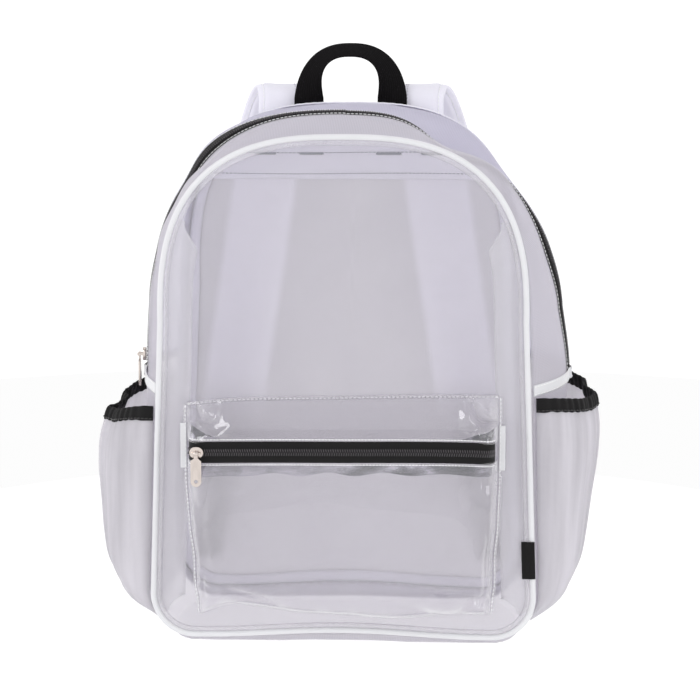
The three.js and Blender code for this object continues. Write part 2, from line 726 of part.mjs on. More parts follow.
function roundEnded(width, length, count = 6) {
  const shape = new THREE.Shape();
  shape.absarc(0, length / 2 - width / 2, width / 2, 0, Math.PI, false);
  shape.absarc(0, width / 2 - length / 2, width / 2, Math.PI, 2 * Math.PI, false);
  shape.closePath();
  return { shape, settings: { curveSegments: count, bevelEnabled: false } };
}

const barHeight = slider.wall + slider.rise;

function sliderBody(lengthways) {
  const { shape, settings } = roundEnded(slider.width, slider.length);
  const body = new THREE.ExtrudeGeometry(shape, { ...settings, depth: slider.wall });
  if (lengthways) body.rotateZ(Math.PI / 2);
  const postHeight = barHeight + slider.bar - slider.wall / 2;
  const posts = [-1, 1].map((side) =>
    new THREE.BoxGeometry(slider.post, slider.bar * 2, postHeight).translate(
      side * slider.halfSpan,
      0,
      slider.wall / 2 + postHeight / 2,
    ),
  );
  const bar = new THREE.CylinderGeometry(slider.bar, slider.bar, slider.halfSpan * 2, 10)
    .rotateZ(Math.PI / 2)
    .translate(0, 0, barHeight);
  return carved([body, ...posts, bar]);
}

// The puller hangs along -Y from its eye, whose middle is the origin.
function pullerTab() {
  const { length, width, wall, neck, neckEnd, eye, hole } = puller;
  const eyeWidth = 2 * slider.halfSpan - slider.post - 2 * gap;
  const ring = new THREE.CylinderGeometry(eye, eye, eyeWidth, 14).rotateZ(Math.PI / 2);
  const bore = new THREE.CylinderGeometry(slider.bar + gap, slider.bar + gap, eyeWidth * 2, 14).rotateZ(Math.PI / 2);
  const tab = new THREE.Shape();
  tab.moveTo(-neck / 2, -slider.bar);
  tab.lineTo(-neck / 2, -neckEnd + 1);
  tab.lineTo(-width / 2, -neckEnd - 1);
  tab.absarc(0, width / 2 - length, width / 2, Math.PI, 2 * Math.PI, false);
  tab.lineTo(width / 2, -neckEnd - 1);
  tab.lineTo(neck / 2, -neckEnd + 1);
  tab.lineTo(neck / 2, -slider.bar);
  tab.closePath();
  const eyelet = new THREE.Path().absarc(0, width / 2 - length, hole, 0, 2 * Math.PI, true);
  tab.holes.push(eyelet);
  const plate = new THREE.ExtrudeGeometry(tab, { depth: wall, curveSegments: 8, bevelEnabled: false });
  return carved([plate.translate(0, 0, -wall / 2), ring], [bore]);
}

// The scene

const backpack = new THREE.Group();

function add(name, geometry, finish, parent = backpack) {
  const made = new THREE.Mesh(geometry, new THREE.MeshStandardMaterial(finish));
  made.name = name;
  parent.add(made);
  return made;
}

// A slider and its hanging puller at a place on a zip. turn is about the vertical, from facing the front.
function zipPull(name, place, turn, lengthways) {
  const pull = new THREE.Group();
  pull.position.copy(place);
  pull.rotation.set(Math.PI / 2, 0, turn, "ZXY");
  add(`${name}_slider`, sliderBody(lengthways), nickel, pull);
  add(`${name}_puller`, pullerTab(), nickel, pull).position.z = barHeight;
  backpack.add(pull);
}

const seat = tape.wall / 2 + coil.height + gap + slack;

add("front_panel", panel(front, pipingRadius + gap, frontY, filmWall, 4), film);
add("front_piping", piping(), whiteVinyl);
add("gusset_front", gussetFront(), film);
add("main_zipper", mainZip(), blackCloth);
add("gusset_back", gussetBack(), film);
add("gusset_bottom", lowerGusset(), film);
add("back_panel", panel(back, gap, backY, clothWall, 3), sheer);
add("back_binding", backBinding(), whiteCloth);
add("yoke", yoke(), whiteCloth);
add("front_pocket_top", hood(), film);
add("front_pocket_face", pocketFace(), film);
add("pocket_zipper", pocketZip(), blackCloth);
add("side_label", sideLabel(), blackCloth);
add("grab_handle", grabHandle(), blackCloth);
for (const [name, side] of [["left", -1], ["right", 1]]) {
  add(`seam_band_${name}`, jointBand(side), whiteVinyl);
  add(`side_pocket_${name}`, pocket(side), sheer);
  add(`pocket_binding_${name}`, pocketBinding(side), blackCloth);
  add(`pocket_end_tab_${name}`, endTabAt(side), whiteVinyl);
  add(`shoulder_strap_${name}`, ribbon(strapRows, side, true), whiteCloth);
  add(`strap_buckle_${name}`, ladderLock(side), blackPlastic);
  add(`strap_webbing_${name}`, lowerWebbing(side), blackCloth);
}

const pocketPlace = pocketSkin(pocketSliderX, frontPocket.zipCentre);
zipPull("pocket", pocketPlace.add(new THREE.Vector3(0, -seat, 0)), 0, true);
const mainPlace = gusset(-shareAt(front, mainSliderZ), mainZipAcross);
zipPull("main", mainPlace.add(new THREE.Vector3(-seat, 0, 0)), -Math.PI / 2, false);

export default backpack;
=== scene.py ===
"""A clear stadium backpack: its film, cloth, zips and metal, dressed over the packed model."""

import math

import bpy
import numpy as np
from bpy.props import FloatProperty, FloatVectorProperty, IntProperty, PointerProperty
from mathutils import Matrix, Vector


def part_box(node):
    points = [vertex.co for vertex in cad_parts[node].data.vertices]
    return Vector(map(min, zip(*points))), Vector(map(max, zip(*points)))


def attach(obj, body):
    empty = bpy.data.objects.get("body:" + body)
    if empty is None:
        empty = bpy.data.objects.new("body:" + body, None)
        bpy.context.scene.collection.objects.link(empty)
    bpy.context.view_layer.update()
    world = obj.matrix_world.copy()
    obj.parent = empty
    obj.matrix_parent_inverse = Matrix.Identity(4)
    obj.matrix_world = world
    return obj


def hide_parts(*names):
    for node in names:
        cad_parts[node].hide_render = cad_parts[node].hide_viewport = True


bl_info = {
    "name": "Clear Backpack",
    "version": (1, 0, 0),
    "blender": (4, 5, 0),
    "location": "View3D > Sidebar > Backpack",
    "description": "Makes the pieces of a clear film backpack over its packed model",
    "category": "Object",
}

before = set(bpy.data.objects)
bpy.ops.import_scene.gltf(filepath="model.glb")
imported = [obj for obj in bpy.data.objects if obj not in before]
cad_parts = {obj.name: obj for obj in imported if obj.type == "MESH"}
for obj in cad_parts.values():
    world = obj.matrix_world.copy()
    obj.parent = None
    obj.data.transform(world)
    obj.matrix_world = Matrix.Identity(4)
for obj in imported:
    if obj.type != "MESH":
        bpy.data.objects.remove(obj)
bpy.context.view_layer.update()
MM = 0.001
PIPING_LOW, PIPING_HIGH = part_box("front_piping")


# Sizes and colours


def length(name, description, default, **more):
    return FloatProperty(name=name, description=description, default=default, unit="LENGTH", precision=4, **more)


def colour(name, description, default):
    return FloatVectorProperty(name=name, description=description, default=default, subtype="COLOR", size=3, min=0, max=1)


class BackpackSizes(bpy.types.PropertyGroup):
    half_width: length("Half width", "From the middle of the front to its seam", 0.155)
    height: length("Height", "From the floor to the top of the front seam", 0.416)
    depth: length("Depth", "Between the front and back seams", 0.144)
    film: length("Film", "Thickness of the clear film", 0.0006)
    cloth: length("Cloth", "Thickness of the sheer cloth", 0.0006)
    piping: length("Piping radius", "Radius of the piping round the front", 0.0024)
    tape: length("Zip width", "Width of the zip tape that shows", 0.017)
    coil: length("Coil", "Width of the zip's closed coil", 0.0052)
    tooth: length("Tooth pitch", "Distance between the turns of the coil", 0.0019)
    webbing: length("Webbing", "Width of the handle and the lower webbing", 0.025)
    stitch: length("Stitch", "Length of one stitch and its gap", 0.0034)
    thread: length("Thread", "Thickness of the sewing thread", 0.00042)
    gathers: IntProperty(name="Gathers", description="Puckers in the edge of a side pocket", default=26, min=4)


class BackpackColours(bpy.types.PropertyGroup):
    film: colour("Film", "Tint of the clear film", (0.955, 0.95, 0.962))
    sheer: colour("Sheer cloth", "Back panel and side pockets", (0.60, 0.588, 0.614))
    white: colour("White cloth", "Straps, yoke and bindings", (0.79, 0.775, 0.86))
    vinyl: colour("White vinyl", "Piping, tabs and seam bands", (0.70, 0.70, 0.725))
    black: colour("Black cloth", "Zips, webbing and pocket edges", (0.006, 0.0055, 0.006))
    metal: colour("Metal", "Sliders and pullers", (0.66, 0.59, 0.55))
    thread: colour("Yoke thread", "Grey thread on the yoke", (0.15, 0.17, 0.22))


def sizes():
    return bpy.context.scene.backpack_sizes


def colours():
    return bpy.context.scene.backpack_colours


# The bag's surfaces, in millimetres. Every function takes and gives arrays.

SWELL_LEFT = [(0, 1.1), (0.15, 0.85), (0.24, 0.35), (0.34, 0.45), (0.45, 0.63), (0.5, 0.62), (0.56, 0.45),
              (0.69, 0.3), (0.8, 0.25), (1, 0.27)]
SWELL_RIGHT = [(0, 1.1), (0.15, 0.85), (0.24, 0.4), (0.34, 0.7), (0.45, 1.25), (0.5, 1.1), (0.56, 0.78),
               (0.69, 0.28), (0.8, 0.3), (1, 0.27)]
DENTS = [(1, 0.83, 0.09, 0.42, 0.26, 0.7), (-1, 0.68, 0.06, 0.5, 0.2, 0.15)]
POCKET_SWELL = [(0, 0.7), (0.14, 0.92), (0.3, 1), (0.5, 0.98), (0.68, 0.95), (0.82, 0.85), (0.92, 0.55), (1, 0)]
FACE_SWELL = [(0, 0.92), (0.3, 1), (0.65, 1), (0.85, 0.94), (0.95, 0.7), (1, 0)]
STRAP = [(0.367, 0.902, 0.153, 0.836, 0.4), (0.367, 0.962, 0.175, 0.873, 0.6), (0.36, 1.015, 0.327, 0.909, 0.9),
         (0.38, 1.0243, 0.636, 0.945, 1), (0.44, 0.983, 0.891, 0.982, 1), (0.527, 0.883, 1, 1, 1),
         (0.607, 0.751, 0.927, 0.982, 1), (0.66, 0.615, 0.782, 0.982, 1), (0.7, 0.479, 0.6, 0.945, 0.9),
         (0.733, 0.3745, 0.455, 0.6, 0.6)]
FOOT_END, CORNER_END, SIDE_END = 4 / 26, 8 / 26, 13 / 26
GAP = 0.35
LAY = 1.7


def read(rows, at):
    """A table's value at each place, on a smooth curve through its rows."""
    keys = np.array([row[0] for row in rows], float)
    values = np.array([row[1] for row in rows], float)
    at = np.asarray(at, float)
    i = np.clip(np.searchsorted(keys, at, side="right") - 1, 0, len(keys) - 2)
    before, after = np.maximum(i - 1, 0), np.minimum(i + 2, len(keys) - 1)
    width = keys[i + 1] - keys[i]
    u = np.clip((at - keys[i]) / width, 0, 1)
    rise = values[i + 1] - values[i]
    start = (values[i + 1] - values[before]) / (keys[i + 1] - keys[before])
    end = (values[after] - values[i]) / (keys[after] - keys[i])
    bend = (1 - u) * (start * width - rise) - u * (end * width - rise)
    return values[i] + rise * u + u * (1 - u) * bend


def mix(a, b, share):
    return a + (b - a) * share


def smooth(low, high, at):
    u = np.clip((np.asarray(at, float) - low) / (high - low), 0, 1)
    return u * u * (3 - 2 * u)


def stack(x, y, z):
    return np.stack(np.broadcast_arrays(np.asarray(x, float), y, z), axis=-1)


def unit(vectors):
    return vectors / np.maximum(np.linalg.norm(vectors, axis=-1, keepdims=True), 1e-12)


def normals(point, s, t, step=1e-3):
    """The unit normals of a surface point(s, t)."""
    along = point(s + step, t) - point(s - step, t)
    across = point(s, t + step) - point(s, t - step)
    return unit(np.cross(along, across))


def ripples(a, b, seed, count=7, low=0.6, high=2.2):
    """Soft unevenness between about -1 and 1 over two coordinates, the same each time."""
    chance = np.random.default_rng(seed)
    total = 0
    for _ in range(count):
        turn = chance.uniform(0, math.pi)
        pace = chance.uniform(low, high)
        phase = chance.uniform(0, 2 * math.pi)
        total = total + np.sin(pace * (a * math.cos(turn) + b * math.sin(turn)) + phase)
    return total / math.sqrt(count) / 1.4


class Bag:
    """The bag's main surfaces, worked out from its sizes."""

    def __init__(self):
        size = sizes()
        self.half, self.height, self.depth = size.half_width / MM, size.height / MM, size.depth / MM
        self.piping, self.tape = size.piping / MM, size.tape / MM
        self.front = dict(base_half=self.half, top_half=self.half * 0.945, shoulder=self.height * 0.644,
                          top=self.height, corner=34, arch=2.7)
        self.back = dict(base_half=self.half * 0.968, top_half=self.half * 0.903, shoulder=self.height * 0.668,
                         top=self.height + 16.5, corner=36, arch=2.9)
        self.zip_share = 0.45
        self.stand = 0.6 + GAP + 0.6 + 0.35
        self.edge_front = (self.piping + 0.6) / self.depth
        self.edge_zip_front = self.zip_share - (self.tape / 2 - 1) / self.depth
        self.edge_zip_back = self.zip_share + (self.tape / 2 - 1) / self.depth
        self.edge_binding = 1 - (10 + GAP) / self.depth
        self.edge_back = 1 - 0.6 / self.depth
        self.joint = self.share_at(self.front, 213)

    def half_outline(self, form, share):
        flat = form["base_half"] - form["corner"]
        x_foot = flat * share / FOOT_END
        foot = x_foot, 9 + 5 * np.cos(math.pi / 2 * np.clip(x_foot / flat, -1, 1)) ** 2
        turn = math.pi / 2 * (share - FOOT_END) / (CORNER_END - FOOT_END)
        corner = flat + form["corner"] * np.sin(turn), 9 + form["corner"] * (1 - np.cos(turn))
        rise = (share - CORNER_END) / (SIDE_END - CORNER_END)
        side = mix(form["base_half"], form["top_half"], rise), mix(9 + form["corner"], form["shoulder"], rise)
        bend = np.clip(math.pi / 2 * (share - SIDE_END) / (1 - SIDE_END), 0, math.pi / 2)
        power = 2 / form["arch"]
        arch = (form["top_half"] * np.maximum(np.cos(bend), 0) ** power,
                form["shoulder"] + (form["top"] - form["shoulder"]) * np.maximum(np.sin(bend), 0) ** power)
        choice = [share < FOOT_END, share < CORNER_END, share < SIDE_END]
        return [np.select(choice, [foot[k], corner[k], side[k]], arch[k]) for k in (0, 1)]

    def outline(self, form, around):
        around = np.asarray(around, float)
        turn = (around + 1) % 2 - 1
        x, z = self.half_outline(form, np.abs(turn))
        return np.stack([np.where(turn < 0, -x, x), z], axis=-1)

    def outward(self, form, around):
        tangent = self.outline(form, around + 4e-3) - self.outline(form, around - 4e-3)
        return unit(np.stack([tangent[..., 1], -tangent[..., 0]], axis=-1))

    def inset(self, form, around, distance):
        return self.outline(form, around) - self.outward(form, around) * np.asarray(distance)[..., None]

    def share_at(self, form, height):
        """The share of half an outline at which it reaches a height."""
        if height <= form["shoulder"]:
            turn = math.acos(max(min(1 - (height - 9) / form["corner"], 1), -1))
            if height < 9 + form["corner"]:
                return mix(FOOT_END, CORNER_END, turn / (math.pi / 2))
            return mix(CORNER_END, SIDE_END, (height - 9 - form["corner"]) / (form["shoulder"] - 9 - form["corner"]))
        reach = ((height - form["shoulder"]) / (form["top"] - form["shoulder"])) ** (form["arch"] / 2)
        return mix(SIDE_END, 1, math.asin(min(reach, 1)) / (math.pi / 2))

    def shares_at(self, form, heights):
        return np.vectorize(lambda height: self.share_at(form, height))(heights)

    def crowned(self, form, x, z):
        middle = form["top"] / 2
        return np.maximum(0, 1 - (x / form["base_half"]) ** 2) * np.maximum(0, 1 - ((z - middle) / middle) ** 2)

    def front_y(self, x, z):
        return -self.depth / 2 + 6 * (z / self.front["top"]) ** 2 - 7 * self.crowned(self.front, x, z)

    def back_y(self, x, z):
        return self.depth / 2 + 3 * self.crowned(self.back, x, z)

    def gusset(self, around, across, out=0):
        """A point of the gusset. across is 0 at the front seam and 1 at the back one."""
        around, across = np.broadcast_arrays(np.asarray(around, float), np.asarray(across, float))
        turn = (around + 1) % 2 - 1
        along = np.abs(turn)
        a, b = self.outline(self.front, around), self.outline(self.back, around)
        share = across[..., None]
        direction = unit(mix(self.outward(self.front, around), self.outward(self.back, around), share))
        swell = np.where(turn < 0, read(SWELL_LEFT, along), read(SWELL_RIGHT, along))
        swell = swell * (1 - np.abs(2 * across - 1) ** 2.4)
        for side, place, reach, middle, spread, deep in DENTS:
            near = ((along - place) / reach) ** 2 + ((across - middle) / spread) ** 2
            dent = deep * np.exp(-near) * np.sqrt(np.maximum(np.sin(math.pi * np.clip(across, 0, 1)), 0))
            swell = np.where(side * turn > 0, swell - dent, swell)
        at = mix(a, b, share) + direction * (30 * swell)[..., None]
        low = 0.6 + self.stand * smooth(self.edge_binding - 0.05, self.edge_binding, across)
        at[..., 1] = np.maximum(at[..., 1], low)
        at = at + direction * np.broadcast_to(np.asarray(out, float), across.shape)[..., None]
        return stack(at[..., 0], mix(self.front_y(*a.T).T, self.back_y(*b.T).T, across), at[..., 1])

    def zip_lean(self, s, across):
        """How far the gusset stands out beside the main zip, where its pull turns the zip's face."""
        off = (across - self.zip_share) * self.depth
        turn = (0.5 * np.exp(-((s - 1.27) / 0.15) ** 2) - 0.75 * np.exp(-((s - 0.79) / 0.11) ** 2)
                + 0.4 * np.exp(-((s - 0.55) / 0.08) ** 2))
        return turn * off * np.exp(-(off / 20) ** 2)

    def pocket(self, side, drop, across):
        """A point of a side pocket. drop is 0 at its top edge and 1 at its foot."""
        top, sag, out = (197, 15, 36) if side < 0 else (206, 11, 26)
        start, end = (self.piping + 1.2) / self.depth, self.edge_binding - 0.8 / self.depth
        share = np.clip((across - start) / (end - start), 0, 1)
        drop = np.clip(drop, 0, 1)
        bulge = np.sqrt(np.maximum(np.sin(math.pi * share ** 0.8), 0))
        hang = 1 - drop
        fold = 2.2 * hang * np.sin(6 * math.pi * share) * np.sin(math.pi * share)
        crease = np.sin(math.pi * share) * (
            2.3 * hang ** 0.5 * ripples(share * 34, drop * 2.5, 11 + side, 8, 0.5, 1.6) * smooth(0, 0.12, share)
        )
        stand = out * bulge * read(POCKET_SWELL, drop)
        droop = np.maximum(np.sin(math.pi * share ** 0.8), 0) ** 1.4
        height = mix(top - sag * droop, 25, drop)
        return self.gusset(side * self.shares_at(self.front, height), across, 2.4 + stand + fold + crease)

    def pocket_reach(self):
        return (self.piping + 1.2) / self.depth, self.edge_binding - 0.8 / self.depth

    def pocket_profile(self, z):
        high, low = 168 + self.tape / 2, 168 - self.tape / 2
        top = 0.86 * np.clip((210.5 - z) / (210.5 - high), 0, 1) ** 0.8
        middle = mix(0.92, 0.86, (z - low) / self.tape)
        face = read(FACE_SWELL, (low - z) / (low - 28.5))
        return np.where(z >= high, top, np.where(z > low, middle, face))

    def pocket_warp(self, x, z):
        """Where a point of the pocket's flat pattern lies, once use has pulled its edges out of true."""
        low = smooth(150, 30, z)
        inward = np.where(x < 0, -8 * low, -4.5 * low) * np.abs(x) / 125
        inward = inward + 0.8 * low * np.sin(z / 7.3) * np.abs(x) / 125
        foot = [(-125, -1.5), (-100, 6), (-80, 6.4), (-40, 1), (8, -1.2), (40, -3.4), (72, -1.2), (125, 1)]
        head = [(-125, -7), (-100, -4), (-70, -1.8), (0, 0), (60, 1.2), (125, 1)]
        lift = read(foot, x) * smooth(70, 30, z) + read(head, x) * smooth(184, 207, z)
        belt = [(-125, -1), (-60, 0.7), (0, 1.3), (60, 1.6), (105, 0.8), (125, -0.8)]
        lift = lift + read(belt, x) * smooth(140, 156, z) * smooth(192, 180, z)
        return x + np.sign(x) * inward, z + lift

    def front_pocket(self, x, z):
        """A point of the front pocket's skin, with its crumpled corners and creased foot."""
        wide = self.half - 30
        share = np.minimum(np.abs(x) / wide, 1)
        stand = 25 * self.pocket_profile(z) * (1 - share ** 40)
        corner = smooth(wide - 36, wide - 10, np.abs(x)) * (1 - smooth(wide - 3, wide, np.abs(x)))
        hood = corner * smooth(180, 186, z) * (1 - smooth(205, 210, z))
        sharp = np.abs(ripples(x / 5.6, z / 7.0, 8, 5, 0.8, 1.5))
        stand = stand - hood * 17 * (0.36 - sharp)
        foot = smooth(78, 40, z) * smooth(27, 36, z)
        crease = np.abs(ripples(x / 14 + z / 16, z / 9 - x / 40, 23, 6, 0.8, 2.2)) - 0.4
        stand = stand + foot * 7.0 * crease * (0.35 + 0.65 * smooth(40, 110, np.abs(x)))
        edge = smooth(wide - 34, wide - 10, np.abs(x)) * smooth(wide, wide - 5, np.abs(x))
        fold = np.abs(ripples(x / 4.5, z / 19, 57, 6, 0.7, 1.8)) - 0.35
        stand = stand + 5.5 * edge * fold * smooth(156, 140, z) * smooth(30, 44, z)
        stand = stand + 0.9 * smooth(160, 120, z) * ripples(x / 38, z / 30, 31) * (1 - share ** 8)
        stand = np.maximum(stand, 0)
        x, z = self.pocket_warp(x, z)
        return stack(x, self.front_y(x, z) - LAY - stand, z)


# Finishes


class Wire:
    """A value in a finish's nodes that takes part in Python's arithmetic."""

    def __init__(self, finish, socket):
        self.finish, self.socket = finish, socket

    def math(self, operation, *values):
        return self.finish.node("ShaderNodeMath", {"operation": operation}, dict(enumerate((self, *values))))

    def __add__(self, other):
        return self.math("ADD", other)

    def __sub__(self, other):
        return self.math("SUBTRACT", other)

    def __mul__(self, other):
        return self.math("MULTIPLY", other)

    def __pow__(self, other):
        return self.math("POWER", other)

    def __rsub__(self, other):
        return (self * -1) + other

    __radd__, __rmul__ = __add__, __mul__


class Finish:
    """A material whose nodes are made one call at a time."""

    def __init__(self, name):
        self.material = bpy.data.materials.new(name)
        self.material.use_nodes = True
        self.tree = self.material.node_tree
        self.tree.nodes.clear()

    def node(self, kind, settings=None, inputs=None, output=0):
        node = self.tree.nodes.new(kind)
        for key, value in (settings or {}).items():
            if key == "stops":
                for stop, (place, shade) in zip(node.color_ramp.elements, value):
                    stop.position, stop.color = place, (*shade, 1)
            else:
                setattr(node, key, value)
        for key, value in (inputs or {}).items():
            if isinstance(value, Wire):
                self.tree.links.new(value.socket, node.inputs[key])
            elif hasattr(value, "__len__") and len(value) == 3 and len(node.inputs[key].default_value) == 4:
                node.inputs[key].default_value = (*value, 1)
            else:
                node.inputs[key].default_value = value
        return Wire(self, node.outputs[output])

    def place(self, kind):
        return self.node("ShaderNodeTexCoord", output=kind)

    def parts(self, place):
        node = self.node("ShaderNodeSeparateXYZ", inputs={0: place}).socket.node
        return [Wire(self, socket) for socket in node.outputs]

    def noise(self, place, scale, detail=3.0, rough=0.5):
        inputs = {"Vector": place, "Scale": scale, "Detail": detail, "Roughness": rough}
        return self.node("ShaderNodeTexNoise", inputs=inputs)

    def ramp(self, value, low, high):
        inputs = {"Value": value, "From Min": low, "From Max": high}
        return self.node("ShaderNodeMapRange", {"clamp": True}, inputs)

    def blend(self, share, a, b):
        inputs = {0: share, 6: a, 7: b}
        return self.node("ShaderNodeMix", {"data_type": "RGBA"}, inputs, output=2)

    def bump(self, height, distance, strength=1.0):
        return self.node("ShaderNodeBump", inputs={"Height": height, "Distance": distance, "Strength": strength})

    def surface(self, **sockets):
        names = {key.replace("_", " "): value for key, value in sockets.items()}
        return self.node("ShaderNodeBsdfPrincipled", inputs=names)

    def mixed(self, share, a, b):
        return self.node("ShaderNodeMixShader", inputs={0: share, 1: a, 2: b})

    def done(self, shader):
        self.node_out = self.tree.nodes.new("ShaderNodeOutputMaterial")
        self.tree.links.new(shader.socket, self.node_out.inputs[0])
        return self.material


def shade(base, factor):
    return tuple(min(channel * factor, 1) for channel in base)


def clear_film(name, tint, haze, grip=1.0, rough=0.07):
    """Soft clear film: see-through, a little milky, with a sharp gloss that grows at its edges."""
    f = Finish(name)
    tint = shade(colours().film, tint)
    place = f.place("Object")
    waves = f.noise(place, 11.0, 0.0, 0.4)
    normal = f.bump(waves, 0.0035, 0.55)
    facing = f.node("ShaderNodeLayerWeight", inputs={"Blend": 0.5, "Normal": normal}, output="Facing")
    gloss = (facing ** 4) * 0.8 + 0.045
    cloud = f.ramp(f.noise(place, 26.0, 4.0, 0.6), 0.3, 0.75)
    milk = (facing ** 2) * (0.5 * grip) + cloud * (haze * 0.4) + haze * 0.8
    clear = f.node("ShaderNodeBsdfTransparent", inputs={"Color": tint})
    white = f.surface(Base_Color=(0.84, 0.83, 0.85), Roughness=0.4, Normal=normal)
    mirror = f.surface(Base_Color=(0.97, 0.97, 0.98), Metallic=1.0, Roughness=rough, Normal=normal)
    return f.done(f.mixed(gloss, f.mixed(milk, clear, white), mirror))


def dark_patches(name, even=False):
    """The dark tape behind the pocket's film, seen through it in patches."""
    f = Finish(name)
    x, y, z = f.parts(f.place("Object"))
    patch = f.noise(f.node("ShaderNodeCombineXYZ", inputs={0: x * (90 if even else 38), 1: 0.0, 2: z * 110}), 1.0, 2.0, 0.5)
    dark = f.ramp(patch, 0.40, 0.47) * 0.85 if even else f.ramp(patch, 0.36, 0.62) * (f.ramp(x, -0.01, 0.03) * 0.62 + 0.26)
    clear = f.node("ShaderNodeBsdfTransparent", inputs={"Color": (0.9, 0.9, 0.92)})
    tape = f.surface(Base_Color=(0.02, 0.026, 0.045), Roughness=0.22)
    return f.done(f.mixed(dark, clear, tape))


def sheer_cloth(name, base, cover, pitch=1.3, straps=False, painted_fold_shade=0.0, through=0.42):
    """Fine open weave, whose threads hide what the holes let through."""
    f = Finish(name)
    u, v, _ = f.parts(f.place("UV"))
    turns = math.pi / (pitch * MM)
    warp = (u * turns).math("SINE").math("ABSOLUTE")
    weft = (v * turns).math("SINE").math("ABSOLUTE")
    threads = warp.math("MAXIMUM", weft)
    place = f.place("Object")
    patch = f.ramp(f.noise(place, 9.0, 2.0, 0.5), 0.3, 0.7)
    slub = f.noise(f.node("ShaderNodeCombineXYZ", inputs={0: u * 1500, 1: v * 60, 2: 0.0}), 1.0, 2.0)
    alpha = threads * 0.26 + (cover - 0.17)
    tone = f.blend(patch * 0.5 + slub * 0.5, shade(base, 0.93), shade(base, 1.06))
    x, y, z = f.parts(place)
    # Where the straps lie behind the back cloth, its colour is painted lighter and bluer: painted light, standing in
    # for light bounced from the straps.
    if straps:
        line = z * -0.15 + 0.1285
        off = (x.math("ABSOLUTE") - line).math("ABSOLUTE")
        behind = f.ramp(off, 0.030, 0.024) * f.ramp(z, 0.155, 0.20)
        tone = f.blend(behind, tone, (base[0] * 1.40, base[1] * 1.41, min(base[2] * 1.56, 1)))
    # Upright lighter and darker strips: painted light and shade of folds in the cloth.
    if painted_fold_shade:
        fold = f.node("ShaderNodeCombineXYZ", inputs={0: x * 30, 1: y * 75, 2: z * 4})
        line = f.ramp(f.noise(fold, 1.0, 3.0, 0.6), 0.32, 0.68)
        tone = f.blend(line, shade(base, 1 - painted_fold_shade), shade(base, 1 + painted_fold_shade))
    normal = f.bump(threads, 0.00012, 0.6)
    front = f.surface(Base_Color=tone, Roughness=0.8, Normal=normal, Sheen_Weight=0.1, Sheen_Roughness=0.4,
                      Specular_IOR_Level=0.25)
    behind = f.node("ShaderNodeBsdfTranslucent", inputs={"Color": shade(base, 1.25)})
    hole = f.node("ShaderNodeBsdfTransparent", inputs={"Color": (1.0, 1.0, 1.0)})
    return f.done(f.mixed(alpha, hole, f.mixed(through, front, behind)))


def woven(name, base, pitch, deep=0.00012, rough=0.82, sheen=0.2, wander=0.06, specular=0.35):
    """Plain woven cloth with warp and weft."""
    f = Finish(name)
    u, v, _ = f.parts(f.place("UV"))
    turns = 2 * math.pi / (pitch * MM)
    warp, weft = (u * turns).math("SINE"), (v * turns).math("SINE")
    weave = warp * weft
    place = f.place("Object")
    wear = f.ramp(f.noise(place, 18.0, 4.0, 0.6), 0.3, 0.7)
    fuzz = f.noise(place, 900.0, 2.0)
    tone = f.blend(weave * 0.18 + wear * 0.45 + fuzz * 0.3, shade(base, 1 - wander), shade(base, 1 + wander))
    normal = f.bump(weave * 0.6 + fuzz * 0.4, deep, 0.8)
    return f.done(f.surface(Base_Color=tone, Roughness=wear * 0.08 + (rough - 0.04), Normal=normal,
                            Sheen_Weight=sheen, Sheen_Roughness=0.4, Specular_IOR_Level=specular))


def ribbed(name, base, rib=2.1, sheen=0.0):
    """Heavy webbing: ribs along its length, crossed by fine cords."""
    f = Finish(name)
    u, v, _ = f.parts(f.place("UV"))
    across = (u * (2 * math.pi / (rib * MM))).math("SINE")
    cords = (v * (2 * math.pi / (1.1 * MM))).math("SINE")
    weave = across * 0.35 + (cords * across) * 0.4 + cords * 0.25
    fuzz = f.noise(f.place("Object"), 700.0, 3.0)
    tone = f.blend(f.ramp(weave + fuzz * 0.6, -0.8, 1.2), shade(base, 0.4), shade(base, 2.2))
    normal = f.bump(weave, 0.0004, 0.9)
    return f.done(f.surface(Base_Color=tone, Roughness=fuzz * 0.2 + 0.62, Normal=normal, Sheen_Weight=sheen,
                            Sheen_Roughness=0.35, Specular_IOR_Level=0.02))


def moulded(name, base, rough, metal=0.0, grain=0.02):
    """Moulded plastic, vinyl or plated metal with faint unevenness."""
    f = Finish(name)
    place = f.place("Object")
    patch = f.noise(place, 60.0, 4.0, 0.6)
    fine = f.noise(place, 900.0, 2.0)
    tone = f.blend(patch, shade(base, 0.95), shade(base, 1.04))
    normal = f.bump(fine * 0.5 + patch * 0.5, grain * MM, 0.5)
    return f.done(f.surface(Base_Color=tone, Metallic=metal, Roughness=patch * 0.12 + (rough - 0.06), Normal=normal))


def thread(name, base):
    """Twisted sewing thread."""
    f = Finish(name)
    twist = f.noise(f.place("Object"), 1400.0, 2.0)
    tone = f.blend(twist, shade(base, 0.8), shade(base, 1.1))
    return f.done(f.surface(Base_Color=tone, Roughness=0.55, Sheen_Weight=0.3))


FINISHES = {}


